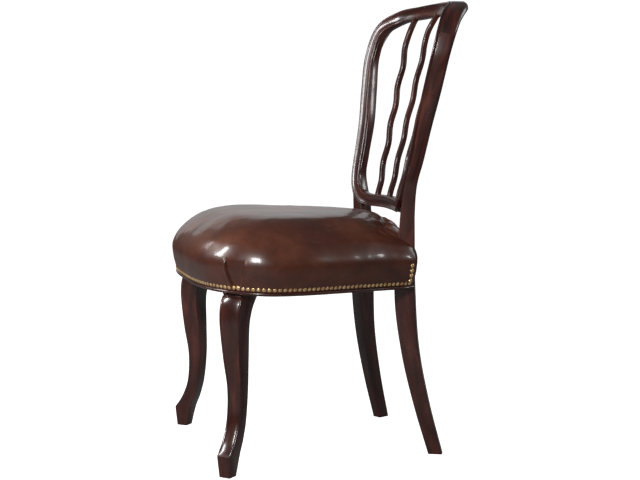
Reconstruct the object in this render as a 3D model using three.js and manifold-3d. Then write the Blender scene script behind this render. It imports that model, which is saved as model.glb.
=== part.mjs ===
// A side chair with a bowed shield back, three wavy splats and a domed leather seat.
// The front of the chair faces -Y, the sitter's left is +X and the floor is z = 0.
// Lengths are millimetres. Left and right pieces are mirror images across x = 0.
import * as THREE from 'three';
import Module from 'manifold-3d';

// Clearances and overruns
const jointGap = 0.3;
const clothGap = 0.6;
const overrun = 30;

// How finely the curves are drawn
const postSteps = 46;
const crestSteps = 17;
const railSteps = 28;
const splatSteps = 40;
const toeSteps = 2;
const legSteps = 20;
const stripSteps = 4;
const planPoints = 60;
const screwSides = 8;

// Rear posts: leg and stile in one length, from the floor to the shoulder
const footHalfSpread = 182.5;
const footSetback = 237;
const calfHeight = 110;
const calfHalfSpread = 169;
const calfSetback = 209;
const thighHeight = 225;
const thighHalfSpread = 157;
const thighSetback = 187;
const seatLevel = 350;
const seatHalfSpread = 148;
const seatSetback = 177;
const waistHeight = 510;
const waistHalfSpread = 155;
const waistSetback = 178.5;
const legTurn = THREE.MathUtils.degToRad(25);
const footWidth = 23;
const footDepth = 28;
const thighWidth = 30.7;
const hipWidth = 33;
const hipDepth = 39;
const waistWidth = 30.5;
const waistDepth = 29;

// Shield shaped hoop: half widths of its middle line. The sides stand at shares of its rise from
// foot to crown, the arch at drops from the crown.
const hoopFootHeight = 592;
const crownHeight = 965;
const hoopFootHalfWidth = 171;
const cheekRiseShare = 0.1287;
const hoopCheekHalfWidth = 175.5;
const sideRiseShare = 0.3298;
const hoopSideHalfWidth = 186;
const flareRiseShare = 0.5308;
const hoopFlareHalfWidth = 203;
const widestRiseShare = 0.7507;
const hoopWidestHalfWidth = 217;
const shoulderDrop = 37;
const shoulderHalfWidth = 203;
const archDrop = 9;
const archHalfWidth = 160;
const crownSideDrop = 2;
const crownSideHalfWidth = 85;
const crestJointDrop = 63;
const hoopWidth = 29;
const hoopOuterDepth = 34;
const hoopInnerDepth = 24;

// Moulding worked on the front of the hoop, the rails and the splats
const beadSize = 5.5;
const quirkDepth = 1.2;
const hollowDepth = 2.6;
const edgeRound = 3.5;

// The bowed and raked surface that the back's middle lies on
const backBaseHeight = 560;
const backBaseSetback = 195;
const backRun = 377;
const backRake = 91;
const backBowRadius = 560;
const rollDrop = 50;
const rollSpan = 52;
const rollSetback = 20;

// Lower back rail
const railTop = 551.5;
const railHeight = 27;
const railDip = 2;
const railHaunch = 110;
const railDepth = 22;
const railForward = 0.5;
const railBowRadius = 820;
const railEndInset = 10;
const cornerRun = 51;
const cornerRise = 54;
const underRun = 66;
const underRise = 72;

// Wavy splats
const splatWidth = 12.5;
const splatDepth = 11;
const splatFootSpacing = 69.5;
const splatHeadSpacing = 104.5;
const splatBulge = 1.2;
const waveAmplitude = 4;
const waveLength = 88.2;
const waveStart = 17;
const waveLead = 11.5;
const waveFade = 36;

// Tenons of the back, all of one size
const backTenonWidth = 7;
const backTenonThickness = 6;
const backTenonLength = 8;

// Seat plan: the line of the nails, as half widths and depths from the middle of the chair
const seatFrontDepth = 278.5;
const seatWidestWidth = 281;
const cornerWidthShare = 0.8203;
const cornerDepthShare = 0.8309;
const widestDepthShare = 0.5386;
const seatBackBulge = 27;
const seatRollLimit = 20;

// Seat frame, raised towards the front
const nailLineHeight = 381;
const seatRise = 13.5;
const seatRiseRun = 409;
const railBelowNails = 13;
const railAboveNails = 44;
const railThickness = 34;
const rearRailInset = 6;
const beadHeight = 7.8;
const beadStandout = 2;
const seatTenonThickness = 9;
const seatTenonHeight = 32;
const seatTenonLength = 14;
const seatTenonLevel = 10;
const sideTenonShift = 6.5;
const tenonShoulder = 3;
const railHeadLength = 16;

// Leather cover over the stuffing
const coverCrown = 142;
const coverThickness = 4;
const hemDrop = 4.2;
const postDrawIn = 17;
const postDrawReach = 62;
const paddingSkirtLevel = 14;

// Front legs: square cabriole, turned outwards at the corners of the seat
const frontLegSet = 6.3;
const frontLegTurn = THREE.MathUtils.degToRad(43.4);
const toeHeight = 44;
const instepHeight = 72;
const ankleHeight = 112;
const shinHeight = 175;
const calfFrontHeight = 240;
const kneeHeight = 308;
const blockBaseHeight = 352;
const frontFootToe = 14.4;
const toeLip = 16.2;
const instepHollow = 1.6;
const ankleHollow = 16.8;
const shinHollow = 20.4;
const calfHollow = 13.4;
const kneeHollow = 5;
const blockFront = 15.4;
const footHeel = 8;
const toeHeel = 17.5;
const instepBack = 27.6;
const ankleBack = 41.2;
const shinBack = 48.6;
const calfBack = 46.8;
const kneeBack = 45.2;
const blockBack = 55.5;
const frontFootWidth = 26;
const toeWidth = 32.2;
const ankleWidth = 32.4;
const shinWidth = 31.4;
const calfWidth = 37;
const kneeWidth = 45.5;
const blockWidth = 48.5;
const legBead = 3.2;
const legQuirk = 0.9;
const legCamber = 1.2;
const blockCamber = 4;

// Corner blocks, screws, webbing and dust cover
const blockReach = 62;
const blockThickness = 22;
const blockNotch = 24;
const cornerBlockHeight = 32;
const screwSpread = 32;
const screwHeadRadius = 4;
const screwHeadHeight = 2.4;
const screwShankRadius = 2;
const screwLength = 42;
const screwLevel = 36;
const strapWidth = 50;
const strapThickness = 1.6;
const strapSpacing = 86;
const strapLanding = 12;
const dustThickness = 0.9;
const dustInset = 12;

// Outlines written as shares of the sizes above
const quirkPlaceShare = 1.4;
const slopeStepShare = 0.01;
const seatFrontShares = [[0.473, 0.92], [0.757, 0.647], [0.895, 0.333]];
const seatCornerShares = [[0.423, 0.253], [0.773, 0.566]];
const seatSideShares = [[0.9, 0.21], [0.624, 0.465], [0.303, 0.745]];
const seatBackShares = [0.54, 0.77];
const coverShares = [[0, 0], [-0.028, 0.2], [-0.034, 0.404], [0.021, 0.595], [0.075, 0.687],
  [0.14, 0.782], [0.223, 0.878], [0.325, 0.965], [0.45, 1]];
const liningShares = [[0, 0], [-0.034, 0.404], [0.075, 0.687], [0.223, 0.878], [0.45, 1]];
const sideRailEndShare = 0.7;
const legTenonPlaceShare = 0.33;

// Places that follow from the sizes above

const hoopLevel = (share) => THREE.MathUtils.lerp(hoopFootHeight, crownHeight, share);
const hoopCheekHeight = hoopLevel(cheekRiseShare);
const hoopSideHeight = hoopLevel(sideRiseShare);
const hoopFlareHeight = hoopLevel(flareRiseShare);
const hoopWidestHeight = hoopLevel(widestRiseShare);
const shoulderHeight = crownHeight - shoulderDrop;
const archHeight = crownHeight - archDrop;
const crownSideHeight = crownHeight - crownSideDrop;
const crestJointHeight = crownHeight - crestJointDrop;
const rollHeight = crownHeight - rollDrop;
const seatCornerWidth = seatWidestWidth * cornerWidthShare;
const seatCornerDepth = seatFrontDepth * cornerDepthShare;
const seatWidestDepth = seatFrontDepth * widestDepthShare;

const up = new THREE.Vector3(0, 0, 1);
const wasm = await Module();
wasm.setup();

// Materials

function polishedWood() {
  return new THREE.MeshStandardMaterial({ color: 0x3a1712, roughness: 0.25, metalness: 0 });
}

function plainWood() {
  return new THREE.MeshStandardMaterial({ color: 0xb08a5c, roughness: 0.7, metalness: 0 });
}

function glossyLeather() {
  return new THREE.MeshStandardMaterial({ color: 0x4a2418, roughness: 0.3, metalness: 0 });
}

function stuffing() {
  return new THREE.MeshStandardMaterial({ color: 0xd8c9a8, roughness: 0.95, metalness: 0 });
}

function juteWebbing() {
  return new THREE.MeshStandardMaterial({ color: 0xa98d5f, roughness: 0.9, metalness: 0 });
}

function blackCloth() {
  return new THREE.MeshStandardMaterial({ color: 0x16161a, roughness: 0.95, metalness: 0 });
}

function steel() {
  return new THREE.MeshStandardMaterial({ color: 0xb9b4a6, roughness: 0.35, metalness: 1 });
}

// Closed solids from rings of points

function solid(points, faces) {
  const vertProperties = new Float32Array(points.flatMap((point) => [point.x, point.y, point.z]));
  const triVerts = new Uint32Array(faces.flat());
  return new wasm.Manifold(new wasm.Mesh({ numProp: 3, vertProperties, triVerts }));
}

function middle(ring) {
  const sum = ring.reduce((total, point) => total.add(point), new THREE.Vector3());
  return sum.divideScalar(ring.length);
}

function facingOut(points, faces) {
  let volume = 0;
  for (const [a, b, c] of faces) {
    volume += points[a].dot(new THREE.Vector3().crossVectors(points[b], points[c]));
  }
  return solid(points, volume > 0 ? faces : faces.map(([a, b, c]) => [a, c, b]));
}

// Joins rings of points, all with the same count, into a solid closed by a fan at each end.
function loft(rings) {
  const sides = rings[0].length;
  const points = rings.flat();
  const faces = [];
  for (let k = 0; k + 1 < rings.length; k += 1) {
    for (let i = 0; i < sides; i += 1) {
      const j = (i + 1) % sides;
      const a = k * sides;
      faces.push([a + i, a + j, a + sides + j], [a + i, a + sides + j, a + sides + i]);
    }
  }
  const first = points.push(middle(rings[0])) - 1;
  const last = points.push(middle(rings.at(-1))) - 1;
  const end = (rings.length - 1) * sides;
  for (let i = 0; i < sides; i += 1) {
    const j = (i + 1) % sides;
    faces.push([first, j, i], [last, end + i, end + j]);
  }
  return facingOut(points, faces);
}

function mirrored(body) {
  const mesh = body.getMesh();
  const points = [];
  for (let i = 0; i < mesh.vertProperties.length; i += mesh.numProp) {
    const [x, y, z] = mesh.vertProperties.slice(i, i + 3);
    points.push(new THREE.Vector3(-x, y, z));
  }
  const faces = [];
  for (let i = 0; i < mesh.triVerts.length; i += 3) {
    faces.push([mesh.triVerts[i], mesh.triVerts[i + 2], mesh.triVerts[i + 1]]);
  }
  return solid(points, faces);
}

function together(bodies) {
  return bodies.reduce((whole, body) => whole.add(body));
}

function without(body, cutters) {
  return cutters.reduce((rest, cutter) => rest.subtract(cutter), body);
}

function geometryOf(body) {
  const mesh = body.getMesh();
  const geometry = new THREE.BufferGeometry();
  const positions = new Float32Array(mesh.vertProperties);
  geometry.setAttribute('position', new THREE.BufferAttribute(positions, 3));
  geometry.setIndex(new THREE.BufferAttribute(new Uint32Array(mesh.triVerts), 1));
  geometry.computeVertexNormals();
  return geometry;
}

function node(name, body, material) {
  const mesh = new THREE.Mesh(geometryOf(body), material);
  mesh.name = name;
  return mesh;
}

// A box from its middle and its three half sizes as vectors
function block(centre, along, across, height) {
  const corners = [[-1, -1], [1, -1], [1, 1], [-1, 1]];
  const ring = (level) => corners.map(([a, b]) => centre.clone()
    .addScaledVector(along, a).addScaledVector(across, b).addScaledVector(height, level));
  return loft([ring(-1), ring(1)]);
}

// Everything on one side of an upright plane through a point
function sideOf(point, direction) {
  const reach = seatFrontDepth + seatWidestWidth;
  const outward = direction.clone().normalize();
  const sideways = new THREE.Vector3().crossVectors(up, outward).normalize();
  const centre = point.clone().addScaledVector(outward, reach);
  return block(centre, outward.multiplyScalar(reach), sideways.multiplyScalar(reach),
    up.clone().multiplyScalar(reach));
}

function belowFloor() {
  const reach = seatFrontDepth + seatWidestWidth;
  return block(new THREE.Vector3(0, 0, -overrun), new THREE.Vector3(reach, 0, 0),
    new THREE.Vector3(0, reach, 0), new THREE.Vector3(0, 0, overrun));
}

// Reads a smooth curve through [place, value] pairs at any place between the first and the last.
function reading(pairs) {
  const last = pairs.length - 1;
  const slope = (k) => {
    const before = pairs[Math.max(k - 1, 0)];
    const after = pairs[Math.min(k + 1, last)];
    return (after[1] - before[1]) / (after[0] - before[0]);
  };
  return (place) => {
    if (place <= pairs[0][0]) return pairs[0][1];
    if (place >= pairs[last][0]) return pairs[last][1];
    const k = pairs.findIndex((pair) => pair[0] > place) - 1;
    const span = pairs[k + 1][0] - pairs[k][0];
    const share = (place - pairs[k][0]) / span;
    const ease = share * share * (3 - 2 * share);
    const leave = slope(k) * span * share * (1 - share) * (1 - share);
    const arrive = slope(k + 1) * span * share * share * (share - 1);
    return pairs[k][1] + (pairs[k + 1][1] - pairs[k][1]) * ease + leave + arrive;
  };
}

// The surface of the back: a cylinder bowed around the sitter, raked, and rolled back at the top

function bow(x, radius) {
  return radius - Math.sqrt(radius * radius - x * x);
}

function rakedSetback(z) {
  const rolled = Math.max(z - rollHeight, 0) / rollSpan;
  const raked = backBaseSetback + (backRake * (z - backBaseHeight)) / backRun;
  return raked + rollSetback * rolled * rolled;
}

function backSetback(x, z) {
  return rakedSetback(z) - bow(x, backBowRadius);
}

function backFacing(x, z) {
  const rolled = Math.max(z - rollHeight, 0) / rollSpan;
  const slope = (backRake / backRun) * Math.max(1 - rolled, 0);
  const sideways = x / Math.sqrt(backBowRadius * backBowRadius - x * x);
  return new THREE.Vector3(sideways, 1, -slope).normalize();
}

function onBack(x, z) {
  return new THREE.Vector3(x, backSetback(x, z), z);
}

// The middle line of half the frame: up the leg and the stile, over the shoulder to the crown
// and a little past it, so that the line is level where it crosses the middle of the chair
const frameCurve = new THREE.CatmullRomCurve3([
  new THREE.Vector3(footHalfSpread, footSetback, 0),
  new THREE.Vector3(calfHalfSpread, calfSetback, calfHeight),
  new THREE.Vector3(thighHalfSpread, thighSetback, thighHeight),
  new THREE.Vector3(seatHalfSpread, seatSetback, seatLevel),
  new THREE.Vector3(waistHalfSpread, waistSetback, waistHeight),
  onBack(hoopFootHalfWidth, hoopFootHeight),
  onBack(hoopCheekHalfWidth, hoopCheekHeight),
  onBack(hoopSideHalfWidth, hoopSideHeight),
  onBack(hoopFlareHalfWidth, hoopFlareHeight),
  onBack(hoopWidestHalfWidth, hoopWidestHeight),
  onBack(shoulderHalfWidth, shoulderHeight),
  onBack(archHalfWidth, archHeight),
  onBack(crownSideHalfWidth, crownSideHeight),
  onBack(0, crownHeight),
  onBack(-crownSideHalfWidth, crownSideHeight),
], false, 'centripetal');
frameCurve.arcLengthDivisions = 1200;

// The share of the curve's run where a test first fails
function shareWhile(holds) {
  let low = 0;
  let high = 1;
  while (high - low > 1e-9) {
    const share = (low + high) / 2;
    if (holds(frameCurve.getPointAt(share))) low = share;
    else high = share;
  }
  return low;
}

const crownShare = shareWhile((point) => point.x > 0);
const shareAtHeight = (height) => shareWhile((point) => point.x > archHalfWidth / 2
  && point.z < height);
const crestJointShare = shareAtHeight(crestJointHeight);

const postWidth = reading([[0, footWidth], [thighHeight, thighWidth],
  [seatLevel, hipWidth], [waistHeight, waistWidth], [hoopFootHeight, hoopWidth],
  [crownHeight, hoopWidth]]);
const postOuterDepth = reading([[0, footDepth], [seatLevel, hipDepth],
  [waistHeight, waistDepth], [hoopCheekHeight, hoopOuterDepth], [crownHeight, hoopOuterDepth]]);
const postInnerDepth = reading([[0, footDepth], [seatLevel, hipDepth],
  [waistHeight, waistDepth], [hoopCheekHeight, hoopInnerDepth], [crownHeight, hoopInnerDepth]]);
const mouldingShare = reading([[0, 0], [waistHeight, 0], [hoopFootHeight, 1], [crownHeight, 1]]);

// Outline of the frame's section as [outwards, backwards] pairs, the front moulding first.
// The moulding fades to a plain square section where its share falls to 0. A grown section, which
// only cuts the room for the wood, keeps the same points but is plain all the way.
function frameSection(width, outerDepth, innerDepth, share, grow) {
  const half = width / 2 + grow;
  const front = -(outerDepth + innerDepth) / 4 - grow;
  const outerBack = front + outerDepth + 2 * grow;
  const innerBack = front + innerDepth + 2 * grow;
  const moulded = grow > 0 ? 0 : Math.max(share, 0);
  const quirk = quirkDepth * moulded;
  const hollow = hollowDepth * moulded;
  const quirkPlace = beadSize * quirkPlaceShare;
  return [
    [half, front + quirkPlace],
    [half - quirk, front + beadSize],
    [half, front + beadSize / 2],
    [half - beadSize / 2, front],
    [half - beadSize, front + quirk],
    [half - quirkPlace, front + hollow / 2],
    [0, front + hollow],
    [quirkPlace - half, front + hollow / 2],
    [beadSize - half, front + quirk],
    [beadSize / 2 - half, front],
    [-half, front + beadSize / 2],
    [-half, innerBack - edgeRound],
    [edgeRound - half, innerBack],
    [half - edgeRound * 2, outerBack - edgeRound / 4],
    [half - edgeRound / 2, outerBack - edgeRound / 2],
    [half, outerBack - edgeRound * 2],
  ];
}

// Directions at a place on the curve, square to the run of the wood
function frameAxes(share) {
  const point = frameCurve.getPointAt(share);
  const run = frameCurve.getTangentAt(share);
  const legFacing = new THREE.Vector3(Math.sin(legTurn), Math.cos(legTurn), 0);
  const rise = THREE.MathUtils.smoothstep(point.z, seatLevel, hoopCheekHeight);
  const back = legFacing.lerp(backFacing(point.x, point.z), rise);
  back.addScaledVector(run, -run.dot(back)).normalize();
  const out = new THREE.Vector3().crossVectors(back, run);
  return { point, run, back, out };
}

function frameRing(share, side, grow) {
  const { point, back, out } = frameAxes(share);
  const section = frameSection(postWidth(point.z), postOuterDepth(point.z), postInnerDepth(point.z),
    mouldingShare(point.z), grow);
  return section.map(([w, n]) => {
    const place = point.clone().addScaledVector(out, w).addScaledVector(back, n);
    return new THREE.Vector3(side * place.x, place.y, place.z);
  });
}

function evenShares(start, end, steps) {
  return Array.from({ length: steps + 1 }, (_, k) => start + ((end - start) * k) / steps);
}

// The rear leg runs on below the floor by the overrun, and is then cut level.
function postBlank(grow) {
  const run = frameCurve.getTangentAt(0);
  const below = frameRing(0, 1, grow).map((point) => point.addScaledVector(run, -overrun));
  const rings = evenShares(0, crestJointShare, postSteps).map((share) => frameRing(share, 1, grow));
  return loft([below, ...rings]).subtract(belowFloor());
}

function crestBlank(grow) {
  const start = crestJointShare + jointGap / frameCurve.getLength();
  const half = evenShares(start, crownShare, crestSteps);
  const left = half.map((share) => frameRing(share, 1, grow));
  const right = half.slice(0, -1).reverse().map((share) => frameRing(share, -1, grow));
  return loft([...left, ...right]);
}

// The crest sits on a tenon that stands up from the end of each post.
function crestTenon(grow) {
  const { point, run, back, out } = frameAxes(crestJointShare);
  return block(point, out.multiplyScalar(backTenonWidth / 2 + grow),
    back.multiplyScalar(backTenonThickness / 2 + grow), run.multiplyScalar(backTenonLength + grow));
}

// Lower back rail: bowed in plan, arched, moulded, and curved up into the stiles

const railEnd = hoopFootHalfWidth - railEndInset;

function quarterRise(past, run, rise) {
  const share = Math.min(Math.max(past, 0) / run, 1);
  return rise * (1 - Math.sqrt(1 - share * share));
}

// The rail is arched: it falls from its middle to a haunch at each side, and then turns up.
function railDrop(x) {
  const share = Math.min(Math.abs(x) / railHaunch, 1);
  return (railDip * (1 - Math.cos(Math.PI * share))) / 2;
}

function railRing(x, grow) {
  const past = Math.abs(x) - railHaunch;
  const top = railTop - railDrop(x) + quarterRise(past, cornerRun, cornerRise) + grow;
  const bottom = railTop - railHeight - railDrop(x) + quarterRise(past, underRun, underRise) - grow;
  const front = -railDepth / 2 - railForward - grow;
  const back = railDepth / 2 - railForward + grow;
  const quirk = grow > 0 ? 0 : quirkDepth;
  const quirkPlace = beadSize * quirkPlaceShare;
  const outline = [
    [front + beadSize / 2, bottom],
    [front, bottom + beadSize / 2],
    [front + quirk, bottom + beadSize],
    [front + quirk / 2, bottom + quirkPlace],
    [front + quirk, top - quirkPlace],
    [front + quirk, top - beadSize],
    [front, top - beadSize / 2],
    [front + beadSize / 2, top],
    [back - edgeRound, top],
    [back, top - edgeRound],
    [back, bottom + edgeRound],
    [back - edgeRound, bottom],
  ];
  const middleDepth = rakedSetback(railTop - railHeight / 2) - bow(x, railBowRadius);
  return outline.map(([depth, z]) => new THREE.Vector3(x, middleDepth + depth, z));
}

function railBlank(grow) {
  const places = evenShares(-1, 1, railSteps).map((share) => railEnd * Math.sin((share * Math.PI) / 2));
  return loft(places.map((x) => railRing(x, grow)));
}

function lowerRailTenon(grow) {
  const { point, back, out } = frameAxes(shareAtHeight(railTop - railDip));
  const root = point.clone().addScaledVector(out, -waistWidth / 2);
  return block(root, out.multiplyScalar(backTenonLength + grow),
    back.multiplyScalar(backTenonThickness / 2 + grow),
    up.clone().multiplyScalar(backTenonWidth + grow));
}

// Wavy splats

function splatLine(place, z) {
  const climb = (z - railTop) / (crownHeight - hoopWidth / 2 - railTop);
  const straight = place * (THREE.MathUtils.lerp(splatFootSpacing, splatHeadSpacing, climb)
    + splatBulge * Math.sin(Math.PI * climb));
  const swing = waveAmplitude * THREE.MathUtils.smoothstep(z, railTop - waveFade / 2,
    railTop + waveFade);
  const start = railTop + waveStart + place * waveLead;
  const wave = Math.sin((2 * Math.PI * (z - start)) / waveLength);
  return onBack(straight + swing * wave, z);
}

function splatAxes(place, z) {
  const step = waveLength * slopeStepShare;
  const point = splatLine(place, z);
  const run = splatLine(place, z + step).sub(splatLine(place, z - step)).normalize();
  const back = backFacing(point.x, point.z);
  back.addScaledVector(run, -run.dot(back)).normalize();
  return { point, run, back, out: new THREE.Vector3().crossVectors(back, run) };
}

function splatRing(place, z) {
  const { point, back, out } = splatAxes(place, z);
  const half = splatWidth / 2;
  const front = -splatDepth / 2;
  const round = splatWidth / 4;
  const outline = [
    [half, front + round],
    [half - round / 2, front + round / 4],
    [half - round, front],
    [0, front + quirkDepth / 2],
    [round - half, front],
    [round / 2 - half, front + round / 4],
    [-half, front + round],
    [-half, splatDepth / 2 - round / 2],
    [round / 2 - half, splatDepth / 2],
    [half - round / 2, splatDepth / 2],
    [half, splatDepth / 2 - round / 2],
  ];
  return outline.map(([w, n]) => point.clone().addScaledVector(out, w).addScaledVector(back, n));
}

function splatTenons(place, grow) {
  const crestUnderside = crownHeight - hoopWidth / 2;
  return [railTop, crestUnderside].map((z) => {
    const { point, run, back, out } = splatAxes(place, z);
    return block(point, out.multiplyScalar(backTenonWidth / 2 + grow),
      back.multiplyScalar(backTenonThickness / 2 + grow), run.multiplyScalar(backTenonLength + grow));
  });
}

function splat(place, cutters) {
  const low = railTop - railDip - edgeRound;
  const high = crownHeight - edgeRound;
  const rings = evenShares(low, high, splatSteps).map((z) => splatRing(place, z));
  return together([without(loft(rings), cutters), ...splatTenons(place, 0)]);
}

// Seat: everything is drawn level on the nail line's plan, then lifted to the seat's slope

function onSeat(x, y, height) {
  return new THREE.Vector3(x, y, nailLineHeight + height - (seatRise * y) / seatRiseRun);
}

function seatDirection(x, y) {
  return new THREE.Vector3(x, y, (-seatRise * y) / seatRiseRun);
}

// Points of the rear post's section where the nail line passes it
function postAtSeat() {
  const { point, back, out } = frameAxes(shareAtHeight(nailLineHeight));
  const width = postWidth(point.z);
  const depth = postOuterDepth(point.z);
  const corner = (w, n) => point.clone().addScaledVector(out, (w * width) / 2)
    .addScaledVector(back, (n * depth) / 2);
  return { outerBack: corner(1, 1), innerBack: corner(-1, 1), front: corner(0, -1), back, out, depth,
    width };
}

const post = postAtSeat();

function halfSeatPlan() {
  const rear = post.outerBack;
  const inner = post.innerBack.clone().addScaledVector(post.back, -coverThickness);
  const points = [[0, -seatFrontDepth]];
  for (const [across, deep] of seatFrontShares) {
    points.push([seatCornerWidth * across,
      -THREE.MathUtils.lerp(seatCornerDepth, seatFrontDepth, deep)]);
  }
  points.push([seatCornerWidth, -seatCornerDepth]);
  for (const [across, deep] of seatCornerShares) {
    points.push([THREE.MathUtils.lerp(seatCornerWidth, seatWidestWidth, across),
      -THREE.MathUtils.lerp(seatCornerDepth, seatWidestDepth, deep)]);
  }
  points.push([seatWidestWidth, -seatWidestDepth]);
  for (const [across, deep] of seatSideShares) {
    points.push([THREE.MathUtils.lerp(rear.x, seatWidestWidth, across),
      THREE.MathUtils.lerp(-seatWidestDepth, rear.y, deep)]);
  }
  points.push([rear.x, rear.y], [inner.x, inner.y]);
  points.push([inner.x * seatBackShares[0], inner.y + seatBackBulge * seatBackShares[1]]);
  points.push([0, inner.y + seatBackBulge]);
  return points;
}

// The closed nail line as points with their outward directions
function seatPlan() {
  const half = halfSeatPlan();
  const other = half.slice(1, -1).reverse().map(([x, y]) => [-x, y]);
  const drawn = [...half, ...other].map(([x, y]) => new THREE.Vector3(x, y, 0));
  const curve = new THREE.CatmullRomCurve3(drawn, true, 'centripetal');
  return Array.from({ length: planPoints }, (_, k) => {
    const run = curve.getTangent(k / planPoints);
    return { point: curve.getPoint(k / planPoints), outward: new THREE.Vector3(run.y, -run.x, 0) };
  });
}

const nailLine = seatPlan();

// A ring inside the nail line. Past the roll's limit it shrinks towards the middle of the seat.
function seatRing(inset, height) {
  const near = Math.min(inset, seatRollLimit);
  const share = 1 - (inset - near) / seatFrontDepth;
  return nailLine.map(({ point, outward }) => onSeat((point.x - outward.x * near) * share,
    (point.y - outward.y * near) * share, height));
}

function seatSlab(inset, low, high) {
  return loft([seatRing(inset, low), seatRing(inset, high)]);
}

const railInset = coverThickness + clothGap;
const railInner = railInset + railThickness;

function railBand(outer, inner) {
  const whole = seatSlab(outer, -railBelowNails, railAboveNails);
  return whole.subtract(seatSlab(inner, -railBelowNails - overrun, railAboveNails + overrun));
}

// Front legs, drawn on their own axes: along the corner's face and outwards from it

const legOut = new THREE.Vector3(Math.sin(frontLegTurn), -Math.cos(frontLegTurn), 0);
const legAlong = new THREE.Vector3(Math.cos(frontLegTurn), Math.sin(frontLegTurn), 0);
const legCentre = new THREE.Vector3(seatCornerWidth, -seatCornerDepth, 0)
  .addScaledVector(legOut, frontLegSet);

const toeFront = reading([[0, frontFootToe], [toeHeight, toeLip]]);
const shinFront = reading([[toeHeight, toeLip], [instepHeight, -instepHollow],
  [ankleHeight, -ankleHollow], [shinHeight, -shinHollow], [calfFrontHeight, -calfHollow],
  [kneeHeight, -kneeHollow], [blockBaseHeight, -blockFront]]);
const legBack = reading([[0, footHeel], [toeHeight, toeHeel], [instepHeight, instepBack],
  [ankleHeight, ankleBack], [shinHeight, shinBack], [calfFrontHeight, calfBack],
  [kneeHeight, kneeBack], [blockBaseHeight, blockBack]]);
const legWidth = reading([[0, frontFootWidth], [toeHeight, toeWidth], [ankleHeight, ankleWidth],
  [shinHeight, shinWidth], [calfFrontHeight, calfWidth], [kneeHeight, kneeWidth],
  [blockBaseHeight, blockWidth]]);
const legCrown = reading([[toeHeight, legCamber], [kneeHeight, legCamber],
  [blockBaseHeight, blockCamber]]);

function legRing(z, grow, lift) {
  const front = (z > toeHeight ? shinFront(z) : toeFront(z)) + grow;
  const back = -legBack(z) - grow;
  const half = legWidth(z) / 2 + grow;
  const camber = z > toeHeight ? legCrown(z) : 0;
  const quirk = grow > 0 || camber === 0 ? 0 : legQuirk;
  const outline = [
    [-half, back + legBead],
    [-half, front - legBead],
    [legBead / 4 - half, front - legBead / 4],
    [legBead - half, front],
    [legBead * quirkPlaceShare - half, front - quirk],
    [legBead * 2 - half, front + camber / 4],
    [0, front + camber],
    [half - legBead * 2, front + camber / 4],
    [half - legBead * quirkPlaceShare, front - quirk],
    [half - legBead, front],
    [half - legBead / 4, front - legBead / 4],
    [half, front - legBead],
    [half, back + legBead],
    [half - legBead, back],
    [legBead - half, back],
  ];
  return outline.map(([t, n]) => {
    const place = legCentre.clone().addScaledVector(legAlong, t).addScaledVector(legOut, n);
    return lift === undefined ? place.setZ(z) : onSeat(place.x, place.y, lift);
  });
}

function frontLegBlank(grow) {
  const toe = evenShares(0, toeHeight, toeSteps);
  const shin = evenShares(toeHeight, blockBaseHeight, legSteps).slice(1);
  const rings = [...toe, toeHeight + legQuirk, ...shin].map((z) => legRing(z, grow));
  return loft([...rings, legRing(blockBaseHeight, grow, railAboveNails + grow)]);
}

// Tenons that join the seat rails to the legs, as blocks on the seat's slope

function seatTenon(root, direction, grow) {
  const along = direction.clone().setZ(0).normalize();
  const across = new THREE.Vector3().crossVectors(up, along);
  const centre = onSeat(root.x, root.y, seatTenonLevel);
  return block(centre,
    seatDirection(along.x, along.y).multiplyScalar(seatTenonLength + grow),
    seatDirection(across.x, across.y).multiplyScalar(seatTenonThickness / 2 + grow),
    up.clone().multiplyScalar(seatTenonHeight / 2 + grow));
}

function legTenon(side, grow) {
  const root = legCentre.clone().addScaledVector(legAlong, (side * blockWidth) / 2)
    .addScaledVector(legOut, -(blockFront + railInset + railThickness * legTenonPlaceShare));
  return seatTenon(root, legAlong, grow);
}

function sideRailPostTenon(grow) {
  const root = post.front.clone().addScaledVector(post.out, sideTenonShift);
  return seatTenon(root, post.back, grow);
}

function rearRailPostTenon(grow) {
  const root = post.innerBack.clone()
    .addScaledVector(post.back, -(rearRailInset + railThickness / 2 - coverThickness));
  return seatTenon(root, post.out, grow);
}

// Solids that others are cut by, with the clearance already in them

const leftPostSpace = postBlank(jointGap);
const rightPostSpace = mirrored(leftPostSpace);
const leftLegSpace = frontLegBlank(jointGap);
const rightLegSpace = mirrored(leftLegSpace);
const frameSpaces = [leftPostSpace, rightPostSpace, leftLegSpace, rightLegSpace];

// The rails stop at the leg's sides.
const railStop = blockWidth / 2 + jointGap;

function acrossX(direction) {
  return new THREE.Vector3(-direction.x, direction.y, direction.z);
}

function onFrontSide(body, gap) {
  const cut = legCentre.clone().addScaledVector(legAlong, -gap);
  const left = body.intersect(sideOf(cut, legAlong.clone().negate()));
  return left.intersect(sideOf(acrossX(cut), acrossX(legAlong).negate()));
}

function onLeftSide(body, gap) {
  return body.intersect(sideOf(legCentre.clone().addScaledVector(legAlong, gap), legAlong))
    .intersect(sideOf(post.front, post.out));
}

function frontSeatRail() {
  const rail = onFrontSide(railBand(railInset, railInner), railStop);
  const tenon = legTenon(-1, 0);
  return together([rail, tenon, mirrored(tenon)]);
}

// The side rail is left thick before the post, so that its tenon always has wood at its root.
function sideRailHead(grow) {
  const inner = sideTenonShift - seatTenonThickness / 2 - tenonShoulder;
  const half = (post.width / 2 - inner) / 2;
  const root = post.front.clone().addScaledVector(post.out, inner + half);
  const head = block(onSeat(root.x, root.y, railAboveNails / 2),
    seatDirection(post.back.x, post.back.y).multiplyScalar(railHeadLength + grow),
    seatDirection(post.out.x, post.out.y).multiplyScalar(half + grow),
    up.clone().multiplyScalar(railAboveNails));
  return head.intersect(seatSlab(railInset, -railBelowNails - grow, railAboveNails + grow));
}

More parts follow.
